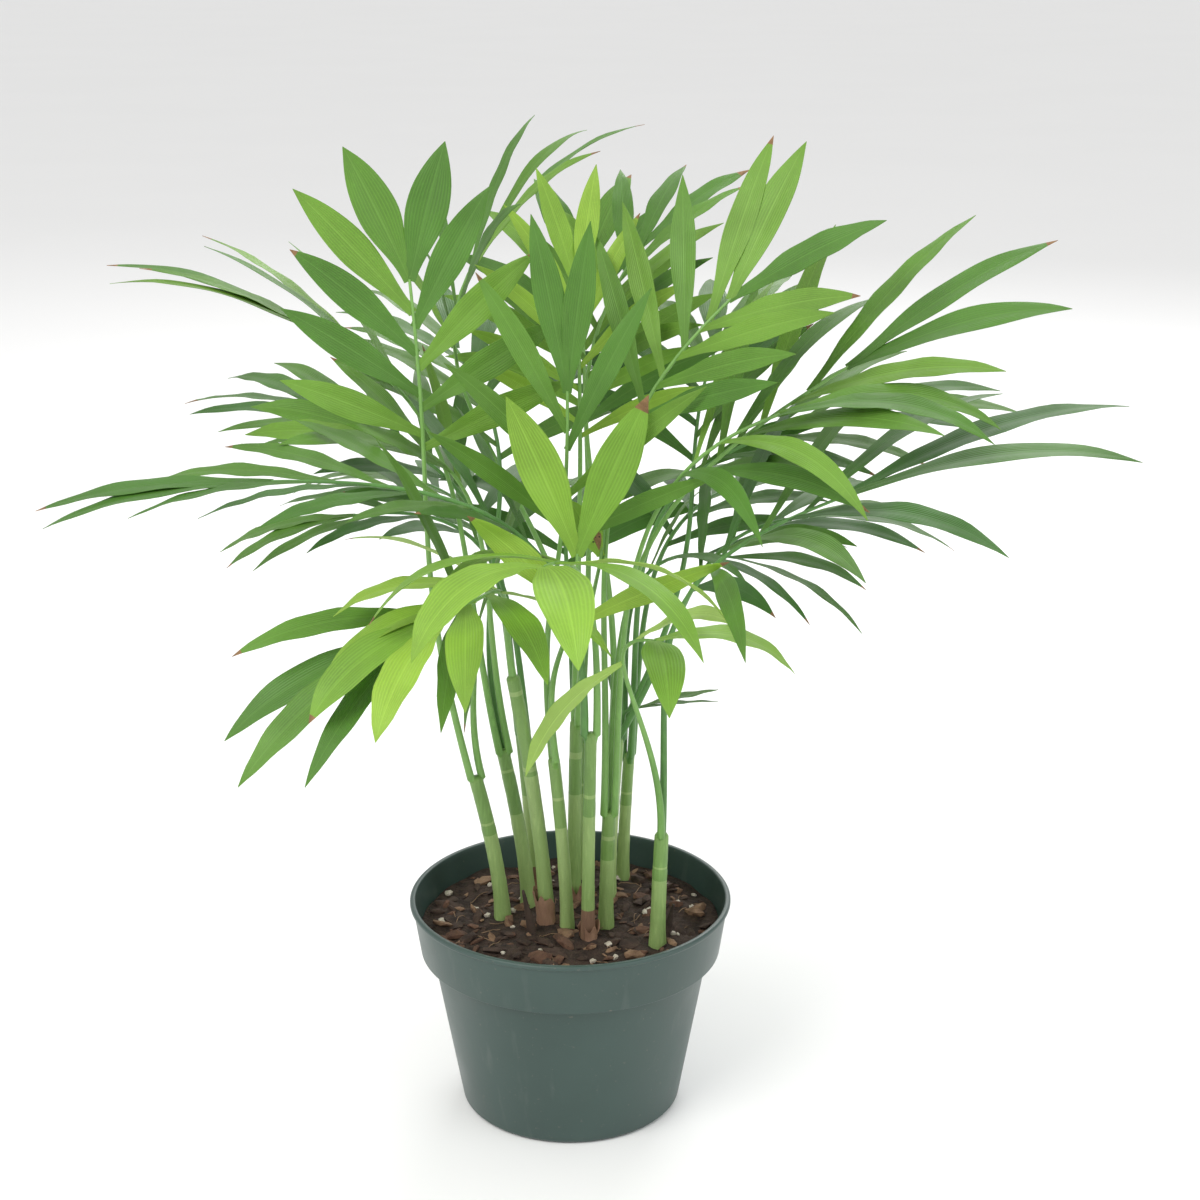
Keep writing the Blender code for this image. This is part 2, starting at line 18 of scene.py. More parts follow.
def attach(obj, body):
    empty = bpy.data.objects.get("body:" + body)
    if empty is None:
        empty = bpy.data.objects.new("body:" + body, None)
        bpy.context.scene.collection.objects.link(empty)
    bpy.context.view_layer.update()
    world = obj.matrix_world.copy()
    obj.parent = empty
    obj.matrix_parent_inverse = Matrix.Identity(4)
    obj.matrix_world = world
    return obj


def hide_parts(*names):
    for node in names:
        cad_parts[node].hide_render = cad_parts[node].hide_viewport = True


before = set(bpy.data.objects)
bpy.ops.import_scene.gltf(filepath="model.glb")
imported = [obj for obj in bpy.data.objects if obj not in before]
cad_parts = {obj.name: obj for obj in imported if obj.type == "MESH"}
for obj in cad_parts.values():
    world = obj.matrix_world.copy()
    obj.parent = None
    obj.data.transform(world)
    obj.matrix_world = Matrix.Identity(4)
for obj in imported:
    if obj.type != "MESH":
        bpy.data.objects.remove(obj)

UP = Vector((0, 0, 1))
GAP = 0.0003  # between solids that touch on the real plant

POT_HEIGHT = 0.0735
POT_TOP_RADIUS = 0.0540
POT_BASE_RADIUS = 0.0372
POT_NECK_RADIUS = 0.0468  # of the body, where it meets the collar
POT_WALL = 0.0012
COLLAR_HEIGHT = 0.0185
COLLAR_FOOT_RADIUS = 0.0505
LIP_HEIGHT = 0.0020
LIP_OVERHANG = 0.0010
DRAIN_HOLES = 6
DRAIN_RADIUS = 0.0035
DRAIN_CIRCLE = 0.0260

SOIL_TOP = 0.0640
SOIL_RELIEF = 0.0022
SOIL_GRAIN = 75.0  # bumps across a metre
LEVEL_RADIUS = 0.0075  # round a stem's foot, where the soil is level
ROUGH_RADIUS = 0.0130

STEM_SIDES = 8
STEM_FOOT_FLARE = 1.2
STEM_TOP_SHARE = 0.95  # of its radius
FLARE_TO = 0.3  # of its height
FLARE_SHARES = (0.0, 0.1, 0.3, 0.65, 1.0)  # of its height, where its rings are

STALK_RADIUS = 0.0014  # of a frond's stalk where it leaves the stem
RACHIS_TIP_RADIUS = 0.00050
RACHIS_SIDES = 4
RACHIS_STEPS = 9
STALK_CIRCLE = 0.0020  # the stalks stand this far from the middle of their stem
STALK_STIFF = 0.5  # share of a stalk that keeps to the stem's direction
LINE_STEPS = 40

LEAF_THICKNESS = 0.0010
LEAST_THICKNESS_SHARE = 0.0115  # of a leaflet's length
LEAF_ROOT_SHARE = 0.28  # of its full width
LEAF_WIDEST = 0.52  # of its length
SHORT_STATIONS = (0.0, 0.22, 0.54, 0.82)
LONG_STATIONS = (0.0, 0.15, 0.35, 0.58, 0.82)
MUCH_DROOP = 38.0
PATH_STEPS = 16
JITTER = 5.0  # degrees, the most that a leaflet strays from the rule
SEED = 11


class Stem(NamedTuple):
    """A seedling's stem: a sheath of leaf bases, from the soil to where its fronds part."""

    foot: tuple
    lean: tuple
    height: float
    radius: float


class Frond(NamedTuple):
    """One leaf of the palm. Its rachis runs from the stem in one bend to its tip."""

    stem: str
    tip: tuple  # where the rachis ends
    heading: float  # of the rachis at its tip
    lift: float  # of the rachis at its tip, above level
    rachis: float  # length that carries leaflets
    pairs: int
    leaf: float  # length of its longest leaflets
    width: float
    spread: float  # between the rachis and its lowest leaflets
    fork: float  # between the rachis and each of its last two leaflets
    droop: float  # how far a level leaflet has bent down by its tip
    roll: float = 0.0  # of the blade about the rachis
    raise_: float = 10.0  # of the leaflets above the blade's plane
    ends: float = 0.95  # length of its last two leaflets, as a share of the longest


STEMS = {
    "left": Stem((-0.023, 0.002), (-0.008, -0.002), 0.05, 0.0026),
    "left_back": Stem((-0.0145, 0.011), (-0.008, 0.003), 0.054, 0.0025),
    "mid_left": Stem((-0.008, -0.002), (-0.01, -0.005), 0.088, 0.0025),
    "middle": Stem((-0.001, -0.007), (-0.004, -0.001), 0.06, 0.0022),
    "front": Stem((0.006, -0.014), (0.001, -0.003), 0.072, 0.0022),
    "mid_right": Stem((0.012, -0.005), (0.001, -0.001), 0.04, 0.0025),
    "right": Stem((0.029, -0.019), (0.001, 0.0), 0.038, 0.0026),
    "right_back": Stem((0.018, 0.033), (0.002, 0.001), 0.045, 0.0022),
    "back_left": Stem((-0.013, 0.026), (-0.004, 0.003), 0.055, 0.0023),
    "back": Stem((0.001, 0.014), (0.001, 0.002), 0.064, 0.0024),
    "back_far": Stem((0.003, 0.034), (0.0, 0.005), 0.05, 0.0023),
    "back_right": Stem((0.013, 0.018), (0.003, 0.004), 0.056, 0.0024),
}

FRONDS = {
    "crest_left": Frond(
        "left", (-0.048, -0.01, 0.283), 130, 81, 0.05, 5, 0.052, 0.013, 58, 18, 12, -35, ends=0.86
    ),
    "far_left_high": Frond(
        "left_back", (-0.076, 0.03, 0.256), 172, 28, 0.034, 3, 0.086, 0.0085, 12, 5, 38, 0, 0
    ),
    "left_mid": Frond("left_back", (-0.058, 0.004, 0.23), 182, 12, 0.026, 3, 0.05, 0.01, 34, 12, 24, -20),
    "left_long": Frond(
        "front", (-0.089, -0.035, 0.226), 184, 0, 0.08, 6, 0.058, 0.009, 42, 5, 26, -12, ends=1.3
    ),
    "left_low": Frond("left", (-0.052, -0.045, 0.18), 200, -24, 0.04, 4, 0.07, 0.011, 44, 6, 34, -30),
    "front_left_low": Frond("mid_left", (-0.036, -0.058, 0.19), 228, -12, 0.036, 4, 0.056, 0.015, 56, 18, 60),
    "front_arch": Frond("front", (-0.006, -0.078, 0.212), 258, 10, 0.034, 3, 0.064, 0.016, 80, 26, 92),
    "right_low": Frond("right", (0.027, -0.043, 0.178), 320, 6, 0.02, 2, 0.052, 0.013, 82, 46, 78),
    "right_mid": Frond(
        "right", (0.083, -0.038, 0.222), 350, 24, 0.045, 4, 0.09, 0.011, 62, 9, 42, 12, ends=1.04
    ),
    "right_high_long": Frond(
        "mid_right", (0.086, -0.015, 0.257), 355, 33, 0.052, 4, 0.08, 0.011, 50, 14, 30, 28
    ),
    "right_arching": Frond(
        "mid_right", (0.064, -0.032, 0.246), 348, 22, 0.034, 3, 0.078, 0.0095, 50, 12, 62, 25
    ),
    "top_right": Frond("mid_right", (0.05, -0.01, 0.277), 0, 44, 0.045, 5, 0.062, 0.0115, 54, 22, 12, 42),
    "top_right_back": Frond("back_right", (0.023, 0.045, 0.284), 50, 38, 0.046, 5, 0.052, 0.009, 54, 16, 30),
    "top_centre": Frond("back", (0.003, 0.015, 0.275), 95, 75, 0.044, 5, 0.045, 0.0075, 56, 11, 24),
    "arch_back": Frond("back_far", (-0.027, 0.045, 0.286), 25, 50, 0.04, 4, 0.07, 0.007, 40, 10, 60),
    "centre_up": Frond("middle", (0.0, -0.018, 0.25), 95, 84, 0.046, 4, 0.058, 0.0095, 50, 8, 18),
    "centre_fan": Frond("middle", (0.003, -0.034, 0.203), 100, 78, 0.022, 2, 0.06, 0.0135, 40, 22, 10),
    "spotted": Frond("back", (0.011, -0.012, 0.205), 95, 80, 0.01, 1, 0.038, 0.01, 30, 8, 14),
    "low_small": Frond("back_right", (0.022, 0.022, 0.132), 10, 5, 0.012, 2, 0.032, 0.005, 30, 10, 10),
    "right_behind": Frond("right_back", (0.085, 0.028, 0.232), 5, 14, 0.048, 5, 0.068, 0.0085, 44, 9, 34, 15),
    "right_hanging": Frond(
        "right_back", (0.055, 0.026, 0.184), 350, -8, 0.034, 4, 0.055, 0.006, 50, 16, 56, 10
    ),
    "left_behind": Frond(
        "back_left", (-0.072, 0.028, 0.198), 180, -8, 0.042, 4, 0.052, 0.008, 46, 10, 40, -10
    ),
    "back_low_left": Frond("back_left", (-0.058, 0.085, 0.196), 135, 0, 0.05, 5, 0.056, 0.0105, 56, 14, 45),
    "back_low": Frond("back_far", (-0.004, 0.104, 0.188), 92, -5, 0.05, 5, 0.058, 0.011, 56, 16, 48),
    "back_low_right": Frond("right_back", (0.066, 0.086, 0.196), 45, 0, 0.05, 5, 0.056, 0.0105, 56, 14, 45),
    "back_mid_left": Frond("left_back", (-0.04, 0.072, 0.246), 120, 24, 0.05, 5, 0.058, 0.0105, 56, 14, 34),
    "back_mid_right": Frond("back_right", (0.05, 0.072, 0.246), 60, 24, 0.05, 5, 0.058, 0.0105, 56, 14, 34),
    "back_high": Frond("back_far", (0.004, 0.07, 0.27), 88, 44, 0.05, 5, 0.056, 0.0105, 56, 14, 34),
    "side_right": Frond("back_right", (0.078, 0.02, 0.2), 12, 0, 0.046, 4, 0.06, 0.0095, 50, 12, 44, 10),
    "side_left": Frond("back_left", (-0.08, 0.056, 0.226), 155, 14, 0.048, 5, 0.06, 0.0095, 50, 12, 36, -10),
}


def mesh_of(name, shape):
    """A mesh from a bmesh, which is then freed."""
    mesh = bpy.data.meshes.new(name)
    shape.to_mesh(mesh)
    shape.free()
    return mesh


def turned(profile, sides):
    """A solid of revolution about +Z from (radius, height) points that start and end on the axis."""
    shape = bmesh.new()
    rim = [shape.verts.new((radius, 0, height)) for radius, height in profile]
    edges = [shape.edges.new(pair) for pair in zip(rim, rim[1:])]
    bmesh.ops.spin(shape, geom=rim + edges, axis=UP, angle=math.tau, steps=sides, use_merge=True)
    bmesh.ops.remove_doubles(shape, verts=shape.verts, dist=1e-6)
    bmesh.ops.recalc_face_normals(shape, faces=shape.faces)
    return mesh_of("pot_shell", shape)


def pot_outside():
    """The pot's outer profile, from the middle of its underside up to its lip."""
    corner = 0.001
    collar_foot = POT_HEIGHT - COLLAR_HEIGHT
    lip_foot = POT_HEIGHT - LIP_HEIGHT
    return [
        (0, 0),
        (POT_BASE_RADIUS - corner, 0),
        (POT_BASE_RADIUS, corner),
        (POT_NECK_RADIUS, collar_foot),
        (COLLAR_FOOT_RADIUS, collar_foot),
        (POT_TOP_RADIUS - LIP_OVERHANG, lip_foot),
        (POT_TOP_RADIUS, lip_foot + 0.25 * LIP_HEIGHT),
        (POT_TOP_RADIUS, POT_HEIGHT - 0.25 * LIP_HEIGHT),
        (POT_TOP_RADIUS - 0.5 * LIP_OVERHANG, POT_HEIGHT),
    ]


def pot_inside(inset):
    """The pot's inner profile moved in by inset, from its floor up to just under its lip."""
    step = POT_HEIGHT - COLLAR_HEIGHT
    wall = POT_WALL + inset
    slope = (POT_TOP_RADIUS - LIP_OVERHANG - COLLAR_FOOT_RADIUS) / (COLLAR_HEIGHT - LIP_HEIGHT)
    return [
        (POT_BASE_RADIUS - wall, POT_WALL + inset),
        (POT_NECK_RADIUS - wall, step),
        (COLLAR_FOOT_RADIUS - wall + slope * POT_WALL, step + 2 * POT_WALL),
        (POT_TOP_RADIUS - LIP_OVERHANG - wall, POT_HEIGHT - LIP_HEIGHT),
    ]


def soil_height(x, y):
    """The soil's surface: rough between the stems and the wall, and level at each stem's foot."""
    nearest = min(math.hypot(x - s.foot[0], y - s.foot[1]) for s in STEMS.values())
    share = min(max((nearest - LEVEL_RADIUS) / (ROUGH_RADIUS - LEVEL_RADIUS), 0.0), 1.0)
    bump = noise.noise(Vector((x, y, 0.37)) * SOIL_GRAIN)
    return SOIL_TOP + SOIL_RELIEF * share * (bump - 0.25)


def stem_point(stem, share):
    """A point on the stem's middle line: it leans further the higher it gets."""
    lean = share**1.5
    x = stem.foot[0] + stem.lean[0] * lean
    y = stem.foot[1] + stem.lean[1] * lean
    return Vector((x, y, SOIL_TOP + GAP + stem.height * share))


def stem_direction(stem):
    return (stem_point(stem, 1.0) - stem_point(stem, 0.8)).normalized()


def ring_faces(rows, sides):
    """The walls between rows of points that each go once round."""
    faces = []
    for row in range(rows - 1):
        for j in range(sides):
            here, beside = row * sides + j, row * sides + (j + 1) % sides
            faces.append((here, beside, beside + sides, here + sides))
    return faces


def tube(centres, radii, sides, twist=0.0):
    """Points and faces of a closed tube with flat ends. Its rings don't turn about its line."""
    points = []
    side = None
    for k, centre in enumerate(centres):
        ahead = centres[min(k + 1, len(centres) - 1)] - centres[max(k - 1, 0)]
        ahead.normalize()
        if side is None:
            side = ahead.cross(UP if abs(ahead.z) < 0.9 else Vector((0, 1, 0)))
        side = (side - side.dot(ahead) * ahead).normalized()
        other = ahead.cross(side)
        for j in range(sides):
            angle = math.tau * j / sides + twist
            points.append(centre + radii[k] * (math.cos(angle) * side + math.sin(angle) * other))
    faces = ring_faces(len(centres), sides)
    last = (len(centres) - 1) * sides
    faces.append(tuple(range(sides - 1, -1, -1)))
    faces.append(tuple(range(last, last + sides)))
    return points, faces


def flare(share):
    """How much wider a stem is at that share of its height than above its foot."""
    return 1 + (STEM_FOOT_FLARE - 1) * (1 - min(share / FLARE_TO, 1)) ** 2


def stem_shape(stem):
    centres = [stem_point(stem, share) for share in FLARE_SHARES]
    radii = [stem.radius * flare(share) * (1 + (STEM_TOP_SHARE - 1) * share) for share in FLARE_SHARES]
    points, faces = tube(centres, radii, STEM_SIDES)
    for point in points[:STEM_SIDES]:
        point.z = SOIL_TOP + GAP
    return points, faces


class Space:
    """The shapes placed so far, so that what grows next keeps clear of them."""

    def __init__(self):
        self.taken = []

    def add(self, owner, points, faces):
        self.taken.append((owner, BVHTree.FromPolygons(points, faces)))

    def is_clear(self, owner, points, faces):
        tree = BVHTree.FromPolygons(points, faces)
        return not any(other != owner and tree.overlap(taken) for other, taken in self.taken)


def bezier(a, b, c, d, share):
    rest = 1 - share
    return rest**3 * a + 3 * rest**2 * share * b + 3 * rest * share**2 * c + share**3 * d


def level(angle):
    """The level unit vector at that angle, in radians."""
    return Vector((math.cos(angle), math.sin(angle), 0))


def heading_vector(heading, lift):
    """The unit vector with that compass heading and lift, in degrees."""
    h, e = math.radians(heading), math.radians(lift)
    return Vector((math.cos(e) * math.cos(h), math.cos(e) * math.sin(h), math.sin(e)))


def along(line, lengths, distance):
    """The point at that distance along a line of points, and the line's direction there."""
    distance = min(max(distance, 0.0), lengths[-1])
    k = next(i for i in range(1, len(line)) if lengths[i] >= distance - 1e-9)
    share = (distance - lengths[k - 1]) / (lengths[k] - lengths[k - 1])
    return line[k - 1].lerp(line[k], share), (line[k] - line[k - 1]).normalized()


def frond_line(frond, start, sway):
    """The stalk and rachis as points: up from the stem, then over to the tip."""
    stem = STEMS[frond.stem]
    tip = Vector(frond.tip)
    reach = (tip - start).length
    out = heading_vector(frond.heading, frond.lift)
    first = start + stem_direction(stem) * reach * STALK_STIFF + sway
    second = tip - out * min(1.6 * frond.rachis, 0.55 * reach) + 0.5 * sway
    line = [bezier(start, first, second, tip, k / LINE_STEPS) for k in range(LINE_STEPS + 1)]
    lengths = [0.0]
    for a, b in zip(line, line[1:]):
        lengths.append(lengths[-1] + (b - a).length)
    return line, lengths


def stalk_radius(share):
    return STALK_RADIUS + (RACHIS_TIP_RADIUS - STALK_RADIUS) * share**0.8


def stalk_shape(line, lengths, extra=0.0):
    centres, radii = [], []
    for k in range(RACHIS_STEPS + 1):
        share = k / RACHIS_STEPS
        centres.append(along(line, lengths, lengths[-1] * share)[0])
        radii.append(stalk_radius(share) + extra)
    return tube(centres, radii, RACHIS_SIDES, twist=math.pi / 4)


def sways():
    """Sideways bends for a stalk to try, the straightest first."""
    yield Vector((0, 0, 0))
    for size in (0.006, 0.012, 0.018, 0.026, 0.034):
        for k in range(8):
            yield level(math.tau * (k + 0.35) / 8) * size


def stalk_start(name):
    """Where a frond leaves its stem: the stem's fronds stand round its top, each on its own side."""
    frond = FRONDS[name]
    stem = STEMS[frond.stem]
    mates = [other for other in FRONDS if FRONDS[other].stem == frond.stem]
    top = stem_point(stem, 1.0) + UP * GAP
    if len(mates) == 1:
        return top
    headings = {}
    for mate in mates:
        tip = FRONDS[mate].tip
        headings[mate] = math.atan2(tip[1] - top.y, tip[0] - top.x) % math.tau
    ranked = sorted(mates, key=lambda mate: headings[mate])
    turn = headings[ranked[0]] + math.tau * ranked.index(name) / len(mates)
    return top + STALK_CIRCLE * level(turn) + UP * 0.0009


def place_stalks(space):
    """Every frond's line, each bent aside as far as it takes to clear the ones before it."""
    lines = {}
    for name, frond in FRONDS.items():
        start = stalk_start(name)
        for sway in sways():
            line, lengths = frond_line(frond, start, sway)
            if space.is_clear(name, *stalk_shape(line, lengths, extra=1.2 * GAP)):
                break
        lines[name] = (line, lengths)
        space.add(name, *stalk_shape(line, lengths))
    return lines


def blade_frame(frond, ahead):
    """The rachis's side and upper directions where it runs ahead."""
    side = heading_vector(frond.heading, 0).cross(UP)
    upper = side.cross(ahead).normalized()
    upper = Quaternion(ahead, math.radians(frond.roll)) @ upper
    return upper.cross(ahead) * -1, upper


class Leaflet(NamedTuple):
    """One leaflet's numbers, as the rule for its frond gives them."""

    root: Vector
    ahead: Vector
    side: Vector
    upper: Vector
    hand: int
    spread: float
    raise_: float
    length: float
    width: float
    droop: float


def leaflet_path(leaf, droop_more=0.0, spread_more=0.0, raise_more=0.0, cut=1.0):
    """The leaflet's middle line, with its direction, width direction and upper side at each point."""
    spread = math.radians(leaf.spread + spread_more)
    lifted = math.radians(leaf.raise_ + raise_more)
    out = leaf.hand * leaf.side * math.cos(lifted) + leaf.upper * math.sin(lifted)
    direction = (math.cos(spread) * leaf.ahead + math.sin(spread) * out).normalized()
    across = leaf.ahead - leaf.ahead.dot(direction) * direction
    if across.length < 0.2:
        across = leaf.hand * -leaf.side
    across = (across - across.dot(direction) * direction).normalized() * -leaf.hand
    point = leaf.root.copy()
    step = leaf.length * cut / PATH_STEPS
    bend = math.radians(leaf.droop + droop_more)
    path = []
    for k in range(PATH_STEPS + 1):
        normal = across.cross(direction).normalized()
        if normal.dot(leaf.upper) < 0 and k == 0:
            across = -across
            normal = -normal
        path.append((point.copy(), direction.copy(), across.copy(), normal))
        point = point + direction * step
        flatness = math.sqrt(max(1 - direction.z**2, 0.0))
        weight = (0.4 + 1.2 * k / PATH_STEPS) / PATH_STEPS
        axis = direction.cross(-UP)
        if axis.length > 1e-4:
            turn = Quaternion(axis.normalized(), bend * flatness * weight)
            direction = (turn @ direction).normalized()
            across = turn @ across
            across = (across - across.dot(direction) * direction).normalized()
    return path


def half_width(width, share):
    """A leaflet's half width: narrow at its root, widest before its middle, drawn out to its tip."""
    rise = min(share / LEAF_WIDEST, 1.0)
    rise = rise * rise * (3 - 2 * rise)
    fall = max((share - LEAF_WIDEST) / (1 - LEAF_WIDEST), 0.0)
    return 0.5 * width * (LEAF_ROOT_SHARE + (1 - LEAF_ROOT_SHARE) * rise) * (1 - fall**2.0)


def path_spot(path, share):
    """The step before that share of a path, how far past it, and the point there."""
    exact = share * PATH_STEPS
    k = min(int(exact), PATH_STEPS - 1)
    return k, exact - k, path[k][0].lerp(path[k + 1][0], exact - k)


def leaflet_shape(leaf, path, extra=0.0):
    """A thin blade with a keel under its midrib. extra makes it that much larger all round."""
    stations = LONG_STATIONS if leaf.droop > MUCH_DROOP else SHORT_STATIONS
    thick = max(LEAF_THICKNESS, LEAST_THICKNESS_SHARE * leaf.length)
    points, faces = [], []
    for share in stations:
        k, _, point = path_spot(path, share)
        across, normal = path[k][2], path[k][3]
        half = half_width(leaf.width, share) + extra
        keel = thick * (0.55 + 0.45 * math.sin(math.pi * min(share + 0.15, 1)))
        points += [
            point + across * half + normal * extra,
            point - normal * (keel + extra),
            point - across * half + normal * extra,
        ]
    points.append(path[-1][0] + path[-1][1] * extra)
    for row in range(len(stations) - 1):
        for j in range(3):
            here, beside = 3 * row + j, 3 * row + (j + 1) % 3
            faces.append((here, beside, beside + 3, here + 3))
    last = 3 * (len(stations) - 1)
    faces += [(last + j, last + (j + 1) % 3, len(points) - 1) for j in range(3)]
    faces.append((2, 1, 0))
    return points, faces


def frond_leaflets(name, line, lengths):
    """The leaflets of a frond by its rule, from the lowest pair to the fork at its tip."""
    frond = FRONDS[name]
    chance = random.Random(f"{SEED} {name}")
    leaves = []
    for pair in range(frond.pairs):
        share = pair / max(frond.pairs - 1, 1)
        is_fork = pair == frond.pairs - 1
        for hand in (-1, 1):
            stagger = 0 if is_fork else hand * 0.18 * frond.rachis / max(frond.pairs - 1, 1)
            back = frond.rachis * (1 - share) + (0.0 if is_fork else stagger)
            root, ahead = along(line, lengths, lengths[-1] - max(back, 0.0005))
            side, upper = blade_frame(frond, ahead)
            spread = frond.spread + (frond.fork - frond.spread) * share**1.6
            size = frond.ends if is_fork else 0.72 + 0.56 * math.sin(math.pi * (0.15 + 0.5 * share))
            leaf = Leaflet(
                *(root, ahead, side, upper, hand),
                spread=spread + chance.uniform(-JITTER, JITTER),
                raise_=frond.raise_ + chance.uniform(-JITTER, JITTER),
                length=frond.leaf * (size if is_fork else min(size, 1.0)) * chance.uniform(0.92, 1.0),
                width=frond.width * (1.0 if is_fork else 0.70 + 0.16 * share),
                droop=frond.droop + chance.uniform(-JITTER, JITTER),
            )
            leaves.append(leaf)
    return leaves


LEAFLET_CHANGES = (
    ("droop_more", 9.0),
    ("raise_more", 7.0),
    ("raise_more", -7.0),
    ("spread_more", 6.0),
    ("spread_more", -6.0),
    ("droop_more", -9.0),
)


def leaflet_tries():
    """Ways for a crowded leaflet to give way: droop, a turn, a lift, and then a shorter blade."""
    yield {}
    for cut in (1.0, 0.86, 0.7):
        for size in (1, 2, 3):
            for change, step in LEAFLET_CHANGES:
                yield {change: step * size, "cut": cut}


def place_leaflets(space, lines):
    """Every frond's leaflets, where each is clear of all other fronds. One that never is gets left out."""
    placed = {}
    for name, (line, lengths) in lines.items():
        placed[name] = []
        for leaf in frond_leaflets(name, line, lengths):
            for change in leaflet_tries():
                path = leaflet_path(leaf, **change)
                if space.is_clear(name, *leaflet_shape(leaf, path, extra=GAP)):
                    placed[name].append((leaf, path))
                    space.add(name, *leaflet_shape(leaf, path))
                    break
    return placed


def grow():
    """The whole plant's lines and leaflets, each clear of the rest."""
    space = Space()
    for name, stem in STEMS.items():
        space.add("stem_" + name, *stem_shape(stem))
    lines = place_stalks(space)
    return lines, place_leaflets(space, lines)


# Looks: sizes

BLADE_STATIONS = 22  # along a leaflet
BLADE_STEPS = (-1.0, -0.7, -0.36, 0.0, 0.36, 0.7, 1.0)  # across a leaflet, from edge to edge
BLADE_THICKNESS = 0.00028
BLADE_FOLD = 0.24  # how far a leaflet's sides rise from its midrib, as a share of its half width
BLADE_CURL = 0.45  # share of that rise which the sides lose again towards their edges
BLADE_PLEAT = 0.00006
BLADE_WAVE = 0.00030
BLADE_TWIST = 14.0  # degrees by its tip, at most
BLADE_KEEL = 0.00026
FULL_HALF_WIDTH = 0.003  # from here on a blade has its full thickness and wave
TIP_HALF_WIDTH = 0.00009
DRY_TIP_CHANCE = 0.34
NO_DRY_TIP = 2.0  # a share past the leaflet's end

VEINS = 13  # across a leaflet

SPECKS = 9  # on each of the spotted frond's leaflets
SPECK_FROM, SPECK_TO = 0.2, 0.75  # of its leaflet's length
SPECK_REACH = 0.75  # of its half width
SPECK_RADII = (0.00025, 0.0007)
SPECK_HEIGHT = 0.00008
SPECK_SIDES = 9
PATCH_STATIONS = 12
PATCH_FROM, PATCH_LENGTH = 0.10, 0.42  # of its leaflet's length
PATCH_INNER, PATCH_REACH = 0.12, 0.75  # of its half width
PATCH_RISE, PATCH_THICKNESS = 0.00016, 0.00026

STALK_SIDES = 10
STALK_RINGS = 30
STALK_SINK = 0.0050  # how far a stalk runs on down into its stem
STALK_FINE_SHARE = 0.94  # of the source's radius

STEM_FINE_SIDES = 24
STEM_FINE_RINGS = 56
STEM_FINE_SHARE = 0.97  # of the source's radius
STEM_DOME = ((0.0008, 0.93), (0.0015, 0.75), (0.0020, 0.45))  # rise, and share of the radius
STEM_SINK = 0.0010  # below the soil's level
FIRST_SHEATH = (0.24, 0.42)  # of the stem's height
SHEATH_SPACING = (0.26, 0.44)
HIGHEST_SHEATH = 0.93
SHEATH_STEP = 0.030  # of a stem's radius, where one leaf base wraps the next
SHEATH_SWELL = 0.10  # of the stem's height, over which it swells to that step
SHEATH_THINNING = 0.012  # of the radius, for each leaf base left below
SHEATH_EDGE = 0.022  # of the stem's height, where the edge of a leaf base is pale
STEM_RIDGES = 9
RIDGE_DEPTH, BUMP_DEPTH = 0.018, 0.02  # of a stem's radius
PALE_TO = 0.60  # share of its height up to which a stem is pale
BROWN_TO = 0.14
BROWN_STEMS = ("front", "back_left")

WRAPPED_STEMS = ("front", "mid_left", "back_left", "back")
WRAP_SIDES, WRAP_ROWS = 30, 12
WRAP_THICKNESS = 0.00012
WRAP_HEIGHTS = (0.10, 0.18)  # of its stem's height
WRAP_TURNS = (210, 300)  # degrees round its stem
WRAP_SINK = 0.0008  # below the soil's level
WRAP_CLEAR = 0.00035
WRAP_SPREAD = 0.0011  # how far it stands off at its top
WRAP_CRUMPLE = 0.00020
STUBS = (  # foot x and y, lean x and y, height
    (-0.0125, -0.0095, -0.003, -0.002, 0.017),
    (0.0315, -0.0125, 0.003, 0.001, 0.012),
)
STUB_RADIUS = 0.0017
STUB_STEPS = 12
STUB_SIDES = 14

POT_FINE_SIDES = 144
POT_ROUNDING = 0.0005
MOUTH_SPREAD = 0.0004  # how much wider the mouth is than the wall below it
ROUNDING_STEPS = 4
DRAIN_SIDES = 32
SOIL_FINE_RINGS = 54
SOIL_FINE_SIDES = 160
WALL_CLEAR = 0.001  # from the pot to the grains on its soil
BARK_CHIPS = 330
SMALL_CHIP_CHANCE = 0.8
SMALL_CHIPS, LARGE_CHIPS = (0.0011, 0.0032), (0.0032, 0.0052)
PERLITE_GRAINS = 46
GRAIN_SIZES = (0.0006, 0.0015)
FIBRES = 60
FIBRE_LENGTHS = (0.003, 0.010)
FIBRE_STEPS = 8
FIBRE_SIDES = 5
FIBRE_RADIUS = 0.00014
FIBRE_CLEAR = 0.008  # from the pot to where a fibre begins
PIECE_SHARP, POT_SHARP, CHIP_SHARP = 45.0, 35.0, 28.0  # degrees, from where on an edge is sharp

CAMERA_PLACE = (0.010, -0.6777, 0.3924)
CAMERA_TILT = 72.4  # degrees up from straight down
CAMERA_LENS = 66.0
SENSOR_WIDTH = 36.0
FLOOR_REACH = 30
FLOOR_HEIGHT = -0.0002
LIGHT_AIM = Vector((0, 0, 0.16))
WORLD_STRENGTH = 0.88
LIGHTS = {  # place, size, power, colour
    "key_light": ((-0.75, -0.85, 1.25), 0.9, 15.0, (1.0, 0.985, 0.96)),
    "fill_light": ((1.10, -0.70, 0.75), 1.1, 6.0, (0.95, 0.98, 1.0)),
    "rim_light": ((0.30, 1.10, 1.05), 0.8, 8.0, (1, 1, 1)),
}


# Looks: colours

